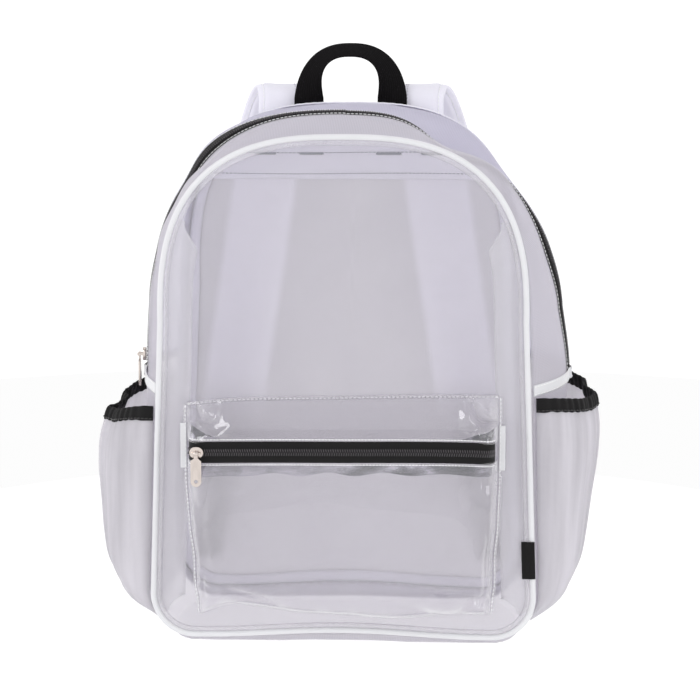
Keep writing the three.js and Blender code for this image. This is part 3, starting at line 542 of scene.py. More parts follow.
def finish(name):
    """A finish by name, made when it is first asked for."""
    if name not in FINISHES:
        c = colours()
        makers = {
            "film": lambda: clear_film(name, 1.0, 0.09),
            "film_pocket": lambda: clear_film(name, 0.99, 0.07, 1.0, 0.045),
            "film_dark_band": lambda: dark_patches(name),
            "painted_zip_reflection": lambda: dark_patches(name, True),
            "sheer_side": lambda: sheer_cloth(name, shade(c.sheer, 1.18), 0.60, through=0.6),
            "sheer_rear": lambda: sheer_cloth(name, shade(c.white, 0.88), 0.72, through=0.55),
            "film_hem_clear": lambda: clear_film(name, 1.0, 0.22, 0.8, 0.12),
            "sheer_back": lambda: sheer_cloth(name, shade(c.sheer, 1.13), 0.90, straps=True, through=0.48),
            "sheer_pocket": lambda: sheer_cloth(name, shade(c.sheer, 1.16), 0.72, 0.9, painted_fold_shade=0.2),
            "white_cloth": lambda: woven(name, tuple(c.white), 0.9),
            # The yoke is the straps' white cloth made lighter: painted light, making up for the shade it sits in behind
            # the bag's top.
            "yoke_painted_lighter_cloth": lambda: woven(name, shade(c.white, 1.14), 0.9),
            "sheer_seam": lambda: sheer_cloth(name, (0.86, 0.855, 0.88), 0.46, through=0.4, painted_fold_shade=0.1),
            "white_binding": lambda: woven(name, shade(c.white, 1.03), 0.7),
            "vinyl": lambda: moulded(name, tuple(c.vinyl), 0.3),
            "webbing": lambda: ribbed(name, tuple(c.black)),
            "edge_cloth": lambda: woven(name, shade(c.black, 1.3), 1.1, 0.0003, 0.85, 0.05, 0.4, 0.25),
            "tape": lambda: woven(name, tuple(c.black), 0.8, 0.0002, 0.8, 0.05, 0.4, 0.3),
            # The coil is the zips' black made fourteen times lighter: a painted highlight standing in for the gloss on
            # its turns.
            "coil": lambda: moulded(name, shade(c.black, 14.0), 0.22),
            "plastic": lambda: moulded(name, shade(c.black, 1.6), 0.42),
            "nickel": lambda: moulded(name, tuple(c.metal), 0.24, 1.0, 0.04),
            "white_thread": lambda: thread(name, (0.9, 0.9, 0.92)),
            "seam_thread": lambda: thread(name, (0.52, 0.51, 0.56)),
            "grey_thread": lambda: thread(name, tuple(c.thread)),
            "black_thread": lambda: thread(name, shade(c.black, 2.0)),
        }
        FINISHES[name] = makers[name]()
    return FINISHES[name]


# Meshes


def deselect():
    if bpy.context.object and bpy.context.object.mode != "OBJECT":
        bpy.ops.object.mode_set(mode="OBJECT")
    bpy.ops.object.select_all(action="DESELECT")


def select(obj):
    deselect()
    obj.hide_set(False)
    obj.select_set(True)
    bpy.context.view_layer.objects.active = obj


def edit(obj, *steps):
    """Runs edit-mode steps on all of an object."""
    select(obj)
    bpy.ops.object.mode_set(mode="EDIT")
    bpy.ops.mesh.select_all(action="SELECT")
    for step in steps:
        step()
    bpy.ops.object.mode_set(mode="OBJECT")


def apply(obj, kind, **settings):
    """Adds a modifier and applies it."""
    select(obj)
    modifier = obj.modifiers.new(kind.title(), kind)
    for key, value in settings.items():
        setattr(modifier, key, value)
    bpy.ops.object.modifier_apply(modifier=modifier.name)


def mesh_object(name, points, faces, uvs=None, soft=True):
    """An object from points in millimetres. uvs gives each point's place on the cloth, in millimetres."""
    mesh = bpy.data.meshes.new(name)
    mesh.from_pydata((np.asarray(points).reshape(-1, 3) * MM).tolist(), [], [tuple(f) for f in faces])
    if uvs is not None:
        layer = mesh.uv_layers.new(name="cloth")
        corners = np.zeros(len(mesh.loops), np.int64)
        mesh.loops.foreach_get("vertex_index", corners)
        layer.data.foreach_set("uv", (np.asarray(uvs).reshape(-1, 2)[corners] * MM).ravel())
    if soft:
        mesh.shade_smooth()
    obj = bpy.data.objects.new(name, mesh)
    bpy.context.scene.collection.objects.link(obj)
    return obj


def grid_faces(rows, columns, loop=False):
    i, j = np.meshgrid(np.arange(rows if loop else rows - 1), np.arange(columns - 1), indexing="ij")
    a, b = i * columns + j, ((i + 1) % rows) * columns + j
    return np.stack([a, b, b + 1, a + 1], axis=-1).reshape(-1, 4)


def cloth_lengths(points):
    """Each point's place on the flat cloth, from the lengths along its rows and columns."""
    along = np.linalg.norm(np.diff(points, axis=0), axis=-1).mean(1)
    across = np.linalg.norm(np.diff(points, axis=1), axis=-1).mean(0)
    u = np.concatenate([[0], np.cumsum(across)])
    v = np.concatenate([[0], np.cumsum(along)])
    return np.stack(np.broadcast_arrays(u[None, :], v[:, None]), axis=-1)


def area_of(points):
    """The area of a grid of points, in square metres."""
    a, b = points[1:, 1:] - points[:-1, :-1], points[1:, :-1] - points[:-1, 1:]
    return float(np.linalg.norm(np.cross(a, b), axis=-1).sum() / 2) * MM * MM


def closed_rows(points, loop):
    return np.concatenate([points, points[:1]]) if loop else points


def skin(name, points, wall, uvs=None, loop=False, pole=False):
    """A wall of even thickness about a grid of points. A loop joins its last row to its first."""
    rows, columns = points.shape[:2]
    if uvs is None:
        uvs = cloth_lengths(points)
    if loop:
        points, uvs = closed_rows(points, True), closed_uvs(points, uvs)
        rows += 1
    obj = mesh_object(name, points, grid_faces(rows, columns), uvs)
    if loop or pole:
        edit(obj, lambda: bpy.ops.mesh.remove_doubles(threshold=1e-6))
    apply(obj, "SOLIDIFY", thickness=wall * MM, offset=0.0, use_even_offset=True)
    return obj


def closed_uvs(points, uvs):
    """The places on the cloth with one more row, where a loop meets its start."""
    step = np.linalg.norm(points[0] - points[-1], axis=-1).mean()
    last = uvs[-1:].copy()
    last[..., 1] += step
    return np.concatenate([uvs, last])


def swept(name, rings, loop=False, soft=60):
    """A solid from rings of points: rings[i, k] is point k of ring i. Ends are capped."""
    count, sides = rings.shape[:2]
    around = np.concatenate([rings, rings[:, :1]], axis=1)
    if loop:
        around = closed_rows(around, True)
    uvs = cloth_lengths(around)
    faces = [tuple(face) for face in grid_faces(len(around), sides + 1)]
    obj = mesh_object(name, around, faces, uvs)
    edit(obj, lambda: bpy.ops.mesh.remove_doubles(threshold=1e-7))
    if not loop:
        edit(obj, lambda: bpy.ops.mesh.select_all(action="DESELECT"),
             lambda: bpy.ops.mesh.select_mode(type="EDGE"),
             lambda: bpy.ops.mesh.select_non_manifold(),
             lambda: bpy.ops.mesh.edge_face_add(),
             lambda: bpy.ops.mesh.select_mode(type="VERT"))
    edit(obj, lambda: bpy.ops.mesh.normals_make_consistent(inside=False))
    select(obj)
    bpy.ops.object.shade_smooth_by_angle(angle=math.radians(soft))
    return obj


def bent(section, places, place):
    """Rings for swept(): place(s, across, up) for each place and each point of a section."""
    section = np.asarray(section, float)
    s = np.asarray(places, float)[:, None]
    return place(s, section[None, :, 0], section[None, :, 1])


def seed_shape(make):
    """The points and faces of a small shape that an operator makes, in millimetres. The shape itself goes."""
    deselect()
    make()
    obj = bpy.context.object
    points = np.array([v.co for v in obj.data.vertices]) / MM
    faces = [tuple(p.vertices) for p in obj.data.polygons]
    bpy.data.objects.remove(obj)
    return points, faces


def make_stitch():
    """One stitch: a drop of thread that lies along X."""
    size = sizes()
    bpy.ops.mesh.primitive_uv_sphere_add(segments=6, ring_count=5, radius=size.thread, rotation=(0, math.pi / 2, 0))
    bpy.ops.object.transform_apply(location=False, rotation=True, scale=False)
    bpy.ops.object.mode_set(mode="EDIT")
    bpy.ops.transform.resize(value=(size.stitch * 0.41 / size.thread, 1, 1))
    bpy.ops.object.mode_set(mode="OBJECT")


def make_tooth():
    """One turn of a zip's coil, on one side: a rounded bar across the tape."""
    size = sizes()
    bpy.ops.mesh.primitive_cube_add(size=1)
    bpy.ops.object.mode_set(mode="EDIT")
    bpy.ops.transform.resize(value=(size.tooth * 0.42, size.coil * 0.58, 0.0017))
    bpy.ops.mesh.bevel(offset=size.tooth * 0.2, segments=1, affect="EDGES")
    bpy.ops.object.mode_set(mode="OBJECT")


def repeated(name, shape, places, along, up, soft=True):
    """Copies of a small shape in one mesh, with its X along and its Z up at each place."""
    points, faces = shape
    along = unit(along)
    side = unit(np.cross(up, along))
    up = np.cross(along, side)
    turned = (points[None, :, 0, None] * along[:, None] + points[None, :, 1, None] * side[:, None]
              + points[None, :, 2, None] * up[:, None])
    every = (turned + places[:, None]).reshape(-1, 3)
    count = len(points)
    corners = [tuple(index + count * k for index in face) for k in range(len(places)) for face in faces]
    return mesh_object(name, every, corners, soft=soft)


def paced(path, step):
    """Places an even step apart along a path, with the path's direction there."""
    gaps = np.linalg.norm(np.diff(path, axis=0), axis=-1)
    run = np.concatenate([[0], np.cumsum(gaps)])
    count = max(int(run[-1] / step), 1)
    at = (np.arange(count) + 0.5) * run[-1] / count
    spot = lambda where: np.stack([np.interp(where, run, path[:, k]) for k in range(3)], axis=-1)
    return at, spot(at), unit(spot(np.minimum(at + 0.4, run[-1])) - spot(np.maximum(at - 0.4, 0)))


def stitches(name, path, up, finish_name, body="bag", step=None):
    """A row of stitches along a path in millimetres. up is the way out of the cloth at each of its points."""
    path, up = np.asarray(path, float), np.broadcast_to(np.asarray(up, float), np.asarray(path).shape)
    at, places, along = paced(path, step or sizes().stitch / MM)
    run = np.concatenate([[0], np.cumsum(np.linalg.norm(np.diff(path, axis=0), axis=-1))])
    out = unit(np.stack([np.interp(at, run, up[:, k]) for k in range(3)], axis=-1))
    obj = repeated(name, seed_shape(make_stitch), places, along, out)
    return dress(obj, finish_name, body)


def dress(obj, finish_name, body="bag", nodes=()):
    """Gives a piece its finish, its material slot, its body and the model's nodes that it stands for."""
    obj.data.materials.clear()
    obj.data.materials.append(finish(finish_name))
    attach(obj, body)
    if nodes:
        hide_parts(*nodes)
    return obj


def declare(points, width, rests_on, loop=False):
    """Says that a piece is a sheet of cloth or film of its own flat size."""
    area = area_of(closed_rows(points, loop))
    across = width * MM
    area / across


# The body


def make_panels():
    bag = Bag()
    size = sizes()
    film = size.film / MM
    around = np.linspace(-1, 1, 420, endpoint=False)[:, None]
    share = (np.linspace(0, 1, 34) ** 0.85)[None, :]
    centre = np.array([0, bag.height * 0.493])

    edge = bag.inset(bag.front, around + 0 * share, bag.piping + 0.2 + 0 * share)
    at = centre + (edge - centre) * share[..., None]
    x, z = at[..., 0], at[..., 1]
    calm = 1 - share ** 6
    y = bag.front_y(x, z) + 0.9 * calm * ripples(x / 55, z / 48, 3)
    points = stack(x, y, z)
    panel = skin("front_film", points, film, uvs=at, loop=True, pole=True)
    dress(panel, "film", nodes=["front_panel"])
    declare(points, 2 * bag.half, ["front_piping"], loop=True)

    turn = np.linspace(0, 2 * math.pi, 17)[:-1]
    cord = np.stack([bag.piping * np.cos(turn), bag.piping * np.sin(turn)], axis=-1)

    def on_seam(s, across, up):
        seam = bag.outline(bag.front, s)
        spot = bag.inset(bag.front, s + 0 * across, across + 0 * s)
        return stack(spot[..., 0], bag.front_y(*seam.T).T + up, spot[..., 1])

    ring = np.linspace(-1, 1, 520, endpoint=False)
    dress(swept("front_piping_cord", bent(cord, ring, on_seam), loop=True), "vinyl",
          nodes=["front_piping"])

    reach = np.array([bag.piping * 0.4, bag.piping + 1.5, bag.piping + 4.2])

    def on_film(s, t, lift=0.0):
        spot = bag.inset(bag.front, s + 0 * t, t + 0 * s)
        return stack(spot[..., 0], bag.front_y(spot[..., 0], spot[..., 1]) - film / 2 - 0.3 - lift, spot[..., 1])

    flange = on_film(ring[:, None], reach[None, :])
    dress(skin("front_piping_flange", flange, 0.35, loop=True), "film_hem_clear")

    ring_column = ring[:, None]
    for side, label in ((-1, "left"), (1, "right")):
        run = np.linspace(0, 1, 200)[:, None]
        low, high = bag.share_at(bag.front, 24), bag.share_at(bag.front, 352)
        wide = 17 * smooth(0, 0.12, run) * smooth(1, 0.86, run) + 5
        reach = bag.piping + 1.5 + wide * np.linspace(0, 1, 7)[None, :]
        spot = bag.inset(bag.front, side * mix(low, high, run) + 0 * reach, reach)
        fold = 0.6 * ripples(run * 40, reach / 4, 37 + side) * reach / 17
        points = stack(spot[..., 0], bag.front_y(spot[..., 0], spot[..., 1]) + 2.6 + fold, spot[..., 1])
        obj = skin(f"front_seam_allowance_{label}", points, 0.4)
        dress(obj, "sheer_seam")

    edge = bag.inset(bag.back, around + 0 * share, 0.4 + 0 * share)
    at = centre + (edge - centre) * share[..., None]
    x, z = at[..., 0], at[..., 1]
    points = stack(x, bag.back_y(x, z) + 0.7 * calm * ripples(x / 60, z / 55, 9), z)
    panel = skin("back_cloth", points, size.cloth / MM, uvs=at, loop=True, pole=True)
    dress(panel, "sheer_back", nodes=["back_panel"])
    declare(points, 2 * bag.half * 0.968, ["back_binding"], loop=True)

    reach = np.array([0.8, 3.5, 6.5, 9.5])[None, :]
    spot = bag.inset(bag.back, ring_column + 0 * reach, reach + 0 * ring_column)
    fray = 0.35 * ripples(ring_column * 60, reach, 19)
    points = stack(spot[..., 0], bag.back_y(spot[..., 0], spot[..., 1]) - 1.1 - 0.3 * fray, spot[..., 1] + fray)
    dress(skin("back_seam_tape", points, 0.5, loop=True), "white_binding")

    out = bag.stand
    s = ring[:, None]
    legs = []
    for t in (-1, -0.66, -0.33, -0.12):
        spot = bag.gusset(s, 1 + t * 10 / bag.depth + 0 * s, out * 0.7)
        spot[..., 2] += (1 + t) * out * 0.7
        legs.append(spot)
    for t in (0.02, 0.15, 0.4, 0.7, 1):
        spot = bag.inset(bag.back, s, t * 10 - (1 - t) * out + 0 * s)
        lift = out * (0.45 + 0.55 * min(t * 5, 1))
        legs.append(stack(spot[..., 0], bag.back_y(spot[..., 0], spot[..., 1]) + lift, spot[..., 1]))
    points = np.concatenate(legs, axis=1)
    pucker = 0.12 * np.sin(np.arange(len(ring)) * 1.9)[:, None, None]
    points = points + normals_of(points) * pucker
    dress(skin("back_binding_cloth", points, 0.8, loop=True), "white_binding", nodes=["back_binding"])
    row = np.linspace(-1, 1, 900)
    path = bag.gusset(row, np.full(900, 1 - 7.8 / bag.depth), out * 0.7 + 0.55)
    centre_line = np.array([0, 0, 220.0])
    stitches("back_binding_stitches", path, unit(path - centre_line), "white_thread")
    spot = bag.inset(bag.back, row, 7.6 + 0 * row)
    path = stack(spot[:, 0], bag.back_y(spot[:, 0], spot[:, 1]) + out + 0.5, spot[:, 1])
    stitches("back_edge_stitches", path, (0, 1, 0), "white_thread")


def normals_of(points):
    """The normals of a looped grid of points."""
    along = np.roll(points, -1, axis=0) - np.roll(points, 1, axis=0)
    across = np.gradient(points, axis=1)
    return unit(np.cross(along, across))


def make_gussets():
    bag = Bag()
    size = sizes()
    joint = bag.joint
    top = np.linspace(joint, 2 - joint, 360)[:, None]
    foot = np.linspace(-joint, joint, 420)[:, None]

    def wavy(s, t, amount, seed):
        waves = ripples(s * 34, t * 7, seed) * np.sin(math.pi * np.clip(t, 0, 1)) * amount
        return bag.gusset(s + 0 * t, t + 0 * s, waves)

    for name, low, high, seed in (("front", bag.edge_front, bag.edge_zip_front, 41),
                                  ("back", bag.edge_zip_back, bag.edge_back, 42)):
        columns = np.linspace(low, high, 22)[None, :]
        ease = np.sin(math.pi * np.linspace(0, 1, 22))[None, :]
        wave = 1.1 * ease * ripples(top * 30, columns * 9, seed) + bag.zip_lean(top, columns)
        points = bag.gusset(top + 0 * columns, columns + 0 * top, wave)
        obj = skin(f"gusset_{name}_cloth", points, size.cloth / MM)
        dress(obj, "sheer_side" if name == "front" else "sheer_rear", nodes=[f"gusset_{name}"])
        declare(points, (high - low) * bag.depth, ["front_piping" if name == "front" else "back_binding"])
    columns = np.linspace(bag.edge_front, bag.edge_back, 44)[None, :]
    points = wavy(foot, columns, 0.0, 7)
    obj = skin("gusset_bottom_cloth", points, size.cloth / MM)
    dress(obj, "sheer_side", nodes=["gusset_bottom"])
    declare(points, bag.depth, ["front_piping", "back_binding"])

    for side, name in ((-1, "left"), (1, "right")):
        half = bag.share_at(bag.front, 213 + 4.5) - joint
        rows = np.linspace(-1, 1, 9)[:, None]
        columns = np.concatenate([np.linspace(bag.edge_front, 0.4, 30), np.linspace(0.405, 0.495, 26),
                                  np.linspace(0.5, bag.edge_binding, 26)])[None, :]
        away = np.abs(columns - bag.zip_share) * bag.depth
        over = 2.4 * (1 - smooth(2.2, 5.2, away))
        points = bag.gusset(side * (joint + half * rows) + 0 * columns, columns + 0 * rows, 1.0 + over + 0.12 * rows ** 2)
        dress(skin(f"seam_band_{name}_vinyl", points, 0.7), "vinyl", nodes=[f"seam_band_{name}"])
        for row in (-0.72, 0.72):
            path = bag.gusset(side * (joint + half * row) + 0 * columns[0], columns[0], 1.0 + over[0] + 0.55)
            stitches(f"seam_band_{name}_stitches_{'low' if row < 0 else 'high'}", path, (side, 0, 0.01),
                     "white_thread")


# Zips


ZIP_SECTION = [(-8.5, -0.3), (8.5, -0.3), (8.5, 0.3), (5.2, 0.35), (2.9, 0.5), (2.5, 1.0), (1.2, 1.25), (0.25, 1.2),
               (0, 0.95), (-0.25, 1.2), (-1.2, 1.25), (-2.5, 1.0), (-2.9, 0.5), (-5.2, 0.35), (-8.5, 0.3)]


def zip_parts(name, places, place, nodes):
    """A zip along a path: its tape, both rows of its coil and the line of stitches beside each."""
    size = sizes()
    section = np.array(ZIP_SECTION) * [size.tape / 0.017, 1]
    tape = swept(f"{name}_tape", bent(section[::-1], places, place))
    dress(tape, "tape", nodes=nodes)
    fine = np.linspace(places[0], places[-1], len(places) * 4)
    base = place(fine[:, None], np.array([[0.0]]), np.array([[0.0]]))[:, 0]
    tooth = seed_shape(make_tooth)
    pitch, coil = size.tooth / MM, size.coil / MM
    for side, label in ((-1, "low"), (1, "high")):
        line = place(fine[:, None], np.array([[side * coil * 0.27]]), np.array([[1.25]]))[:, 0]
        above = place(fine[:, None], np.array([[side * coil * 0.27]]), np.array([[2.25]]))[:, 0]
        run = np.concatenate([[0], np.cumsum(np.linalg.norm(np.diff(base, axis=0), axis=-1))])
        at = np.arange(pitch * (0.75 + side * 0.25), run[-1] - pitch, pitch)
        spot = lambda curve: np.stack([np.interp(at, run, curve[:, k]) for k in range(3)], axis=-1)
        ahead = np.gradient(spot(base), axis=0)
        up = spot(above) - spot(line)
        slant = unit(ahead) + 0.22 * side * unit(np.cross(up, ahead))
        obj = repeated(f"{name}_coil_{label}", tooth, spot(line), slant, up)
        dress(obj, "coil")


def make_zips():
    bag = Bag()
    zipped = np.linspace(bag.joint, 2 - bag.joint, 520)

    def main(s, across, up):
        share = bag.zip_share + across / bag.depth + 0 * s
        return bag.gusset(s + 0 * across, share, up + bag.zip_lean(s, share))

    zip_parts("main_zip", zipped, main, ["main_zipper"])
    for side, label in ((-1, "front"), (1, "back")):
        path = main(zipped[:, None], np.array([[side * 6.9]]), np.array([[0.75]]))[:, 0]
        up = main(zipped[:, None], np.array([[side * 6.9]]), np.array([[2.0]]))[:, 0] - path
        stitches(f"main_zip_stitches_{label}", path, up, "white_thread")

    def pocket(x, across, up):
        spot = bag.front_pocket(x + 0 * across, 168 + across + 0 * x)
        return spot + stack(0 * spot[..., 0], -(up + 0 * x), 0 * spot[..., 0])

    wide = bag.half - 30
    xs = np.linspace(-wide + 2.6, wide - 2.6, 240)
    zip_parts("pocket_zip", xs, pocket, ["pocket_zipper"])


def make_pulls():
    """Sliders and pullers, with softened edges."""
    for node, body in (("pocket_slider", "bag"), ("main_slider", "bag"),
                       ("pocket_puller", "pocket_puller"), ("main_puller", "main_puller")):
        softened(node, f"{node}_metal", "nickel", body, 0.0003)


def softened(node, name, finish_name, body, width):
    """A copy of a model's node with its flat faces joined and its edges bevelled."""
    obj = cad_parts[node].copy()
    obj.data = obj.data.copy()
    obj.name = name
    for key in [key for key in obj.keys() if key.startswith("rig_")]:
        del obj[key]
    obj.parent = None
    bpy.context.scene.collection.objects.link(obj)
    edit(obj, lambda: bpy.ops.mesh.remove_doubles(threshold=1e-6),
         lambda: bpy.ops.mesh.dissolve_limited(angle_limit=math.radians(2)))
    apply(obj, "BEVEL", width=width, segments=2, limit_method="ANGLE", angle_limit=math.radians(40))
    select(obj)
    bpy.ops.object.shade_smooth_by_angle(angle=math.radians(45))
    return dress(obj, finish_name, body, nodes=[node])


# Pockets


def make_front_pocket():
    bag = Bag()
    film = sizes().film / MM
    wide = bag.half - 30
    half = np.concatenate([np.linspace(0, 0.84, 60)[1:], np.linspace(0.85, 1, 50)])
    xs = wide * np.concatenate([-half[::-1], [0], half])
    high, low = 168 + bag.tape / 2, 168 - bag.tape / 2

    for name, rows, node in (("top", np.linspace(210.5, high - 1.2, 64), "front_pocket_top"),
                             ("face", np.linspace(low + 1.2, 28.5, 150), "front_pocket_face")):
        points = bag.front_pocket(xs[None, :] + 0 * rows[:, None], rows[:, None] + 0 * xs[None, :])
        obj = skin(f"front_pocket_{name}_film", points, film)
        dress(obj, "film_pocket", nodes=[node])
        declare(points, 2 * wide + 46, ["front_film"])

    xs_zip = np.linspace(-wide + 3, wide - 3, 300)
    for z, label in ((high + 1.4, "above"), (low - 1.6, "below")):
        path = bag.front_pocket(xs_zip, z + 0 * xs_zip) - [0, film / 2 + 0.25, 0]
        stitches(f"pocket_zip_stitches_{label}", path, (0, -1, 0), "white_thread", step=2.6)

    # A dark see-through band just under the zip, in patches and darker towards the right.
    xs_shade = np.linspace(-wide + 5, wide - 5, 260)[:, None]
    deep = 8.0 + 1.6 * ripples(xs_shade / 9, 0 * xs_shade, 91) + 2.5 * smooth(-60, -118, xs_shade)
    fall = np.linspace(0, 1, 7)[None, :]
    zs_shade = low - 1.4 - deep * fall
    points = bag.front_pocket(xs_shade + 0 * fall, zs_shade) + [0, 1.1, 0]
    dress(skin("pocket_zip_shade_film", points, 0.3), "film_dark_band")

    # Dark patches behind the film's folds over the zip's ends: painted reflections of the zip's tape in the folded
    # film.
    for side, label in ((-1, "left"), (1, "right")):
        t = np.linspace(0, 1, 40)[:, None]
        rise = np.linspace(0, 1, 6)[None, :]
        tall = 8.5 * (1 - t) ** 1.2 + 0.6
        points = bag.front_pocket(side * (wide - 4 - 26 * t) + 0 * rise, high + 1 + tall * rise) + [0, 0.9, 0]
        dress(skin(f"pocket_zip_reflection_{label}_film", points, 0.3), "painted_zip_reflection")

    def flat(x, z, lift=0.0):
        x, z = bag.pocket_warp(x + 0 * z, z + 0 * x)
        return stack(x, bag.front_y(x, z) - LAY - film / 2 - 0.2 - lift, z)

    down = np.linspace(208.5, 30.5, 220)
    for side, label in ((-1, "left"), (1, "right")):
        inner, outer = wide + 0.3, wide + 3.2
        strip = flat(side * np.array([inner, outer])[None, :] + 0 * down[:, None], down[:, None] + np.zeros((1, 2)))
        dress(skin(f"pocket_side_hem_{label}", strip, 0.4), "film_hem_clear")
        path = flat(side * (wide + 1.7) + 0 * down, down, 0.45)
        stitches(f"pocket_side_stitches_{label}", path, (0, -1, 0), "white_thread")
    for z, label in ((208.9, "top"), (30.0, "foot")):
        across = np.linspace(-wide, wide, 260)
        rise = np.array([-1.5, 1.7])
        strip = flat(across[:, None] + 0 * rise[None, :], z + rise[None, :] + 0 * across[:, None])
        hem = skin(f"pocket_{label}_hem", strip, 0.4)
        dress(hem, "film_hem_clear")
        stitches(f"pocket_{label}_stitches", flat(across, z + 0 * across, 0.45), (0, -1, 0), "white_thread")

    for side, label in ((-1, "left"), (1, "right")):
        xs_tab = side * (wide + 0.85 + np.linspace(0, 5, 8))
        zs = np.linspace(149.5, 186.5, 30)
        points = stack(xs_tab[None, :] + 0 * zs[:, None],
                       bag.front_y(xs_tab[None, :], zs[:, None]) - LAY - 0.5 - 0.25 * np.sin(zs[:, None] * 0.5) ** 2,
                       zs[:, None])
        dress(skin(f"pocket_end_tab_{label}_vinyl", points, 0.7), "vinyl",
              nodes=[f"pocket_end_tab_{label}"])


def make_side_pockets():
    bag = Bag()
    start, end = bag.pocket_reach()
    gathers = sizes().gathers
    for side, label in ((-1, "left"), (1, "right")):
        drops = (np.linspace(0, 1, 90) ** 0.9)[:, None]
        across = np.linspace(start, end, 110)[None, :]
        points = bag.pocket(side, drops + 0 * across, across + 0 * drops)
        obj = skin(f"side_pocket_{label}_cloth", points, sizes().cloth / MM)
        dress(obj, "sheer_pocket", nodes=[f"side_pocket_{label}"])
        declare(points, 190, [f"pocket_binding_{label}"])

        rim = (206 if side > 0 else 197) - 25

        def on_edge(s, low, out):
            drop = np.maximum(low, 0) / rim + 0 * s
            spot = bag.pocket(side, drop, s + 0 * drop)
            normal = normals(lambda a, b: bag.pocket(side, a, b), np.maximum(drop, 2e-3), s + 0 * drop)
            normal = normal * np.where(normal[..., :1] * side < 0, -1, 1)
            spot = spot + normal * (out + 0 * s)[..., None]
            spot[..., 2] += np.maximum(-low, 0) + 0 * spot[..., 2]
            return spot

        s = np.linspace(start, end, 420)
        share = (s - start) / (end - start)
        pucker = np.sin(2 * math.pi * gathers * share + 1.7 * np.sin(9 * share)) * 0.5
        pucker += 0.3 * ripples(share * 90, 0 * share, 77 + side, 6, 0.6, 2.0)
        section = [(10.6, 0.9), (9.0, 1.35), (6.5, 1.7), (4, 1.75), (1.5, 1.65), (-0.2, 1.2), (-0.9, 0.4),
                   (-0.9, -0.4), (-0.2, -1.1), (2, -1.4), (8, -1.3), (10.6, -0.8)]
        rings = []
        for low, out in section:
            swell = 1 + 0.42 * pucker * (1 if abs(out) > 1 else 0.5)
            ragged = 0.7 * pucker if low > 9 else (-0.35 * pucker if low < 0 else 0)
            rings.append(on_edge(s, low + ragged + 0 * s, out * swell))
        obj = swept(f"pocket_binding_{label}_cloth", np.stack(rings, axis=1))
        dress(obj, "edge_cloth", nodes=[f"pocket_binding_{label}"])
        path = on_edge(s, 9.1 + 0 * s, 1.75 + 0.25 * pucker)
        stitches(f"pocket_binding_{label}_stitches", path, path - [side * 100, 0, 150], "black_thread")


# Handle, yoke and straps


def make_yoke():
    bag = Bag()
    foot = bag.back["top"] - 63
    begin = bag.share_at(bag.back, foot + 12)
    rows = np.linspace(begin, 2 - begin, 240)[:, None]
    drop = np.linspace(0, 1, 26)[None, :]
    top = bag.inset(bag.back, rows + 0 * drop, 3.2 + 0 * drop)
    z = mix(top[..., 1], foot, drop)
    x = top[..., 0]
    points = stack(x, bag.back_y(x, z) - 1.9 + 0.25 * ripples(x / 20, z / 18, 61), z)
    obj = skin("yoke_painted_lighter_cloth", points, 0.8, uvs=np.stack([x, z], axis=-1))
    dress(obj, "yoke_painted_lighter_cloth", nodes=["yoke"])
    declare(points, 250, ["back_binding"])

    def on_yoke(x, z, lift):
        return stack(x, bag.back_y(x, z) - 1.9 - 0.4 - lift, z)

    for height, label in ((foot + 5, "low"), (foot + 23, "high")):
        edge = bag.inset(bag.back, np.array([bag.share_at(bag.back, height)]), np.array([6.0]))[0, 0]
        across = np.linspace(-edge, edge, 220)
        path = on_yoke(across, height + 0.5 * np.sin(across * 0.03), 0.35)
        stitches(f"yoke_stitches_{label}", path, (0, -1, 0), "grey_thread")
    bars = []
    for middle, wide in ((-72, 18), (-33, 20), (33, 21), (70, 18)):
        steps = np.arange(-wide / 2, wide / 2, 0.9)
        lean = np.where(np.arange(len(steps)) % 2, 1.5, -1.5)
        bars.append(on_yoke(middle + steps, foot + 22 + 0 * steps, 0.5) + 0 * lean[:, None])
    places = np.concatenate(bars)
    tilt = np.where(np.arange(len(places)) % 2, 0.25, -0.25)
    along = stack(tilt, 0 * tilt, 1 + 0 * tilt)
    obj = repeated("yoke_bartacks", seed_shape(make_stitch), places, along, stack(0 * tilt, -1 + 0 * tilt, 0 * tilt))
    dress(obj, "grey_thread")


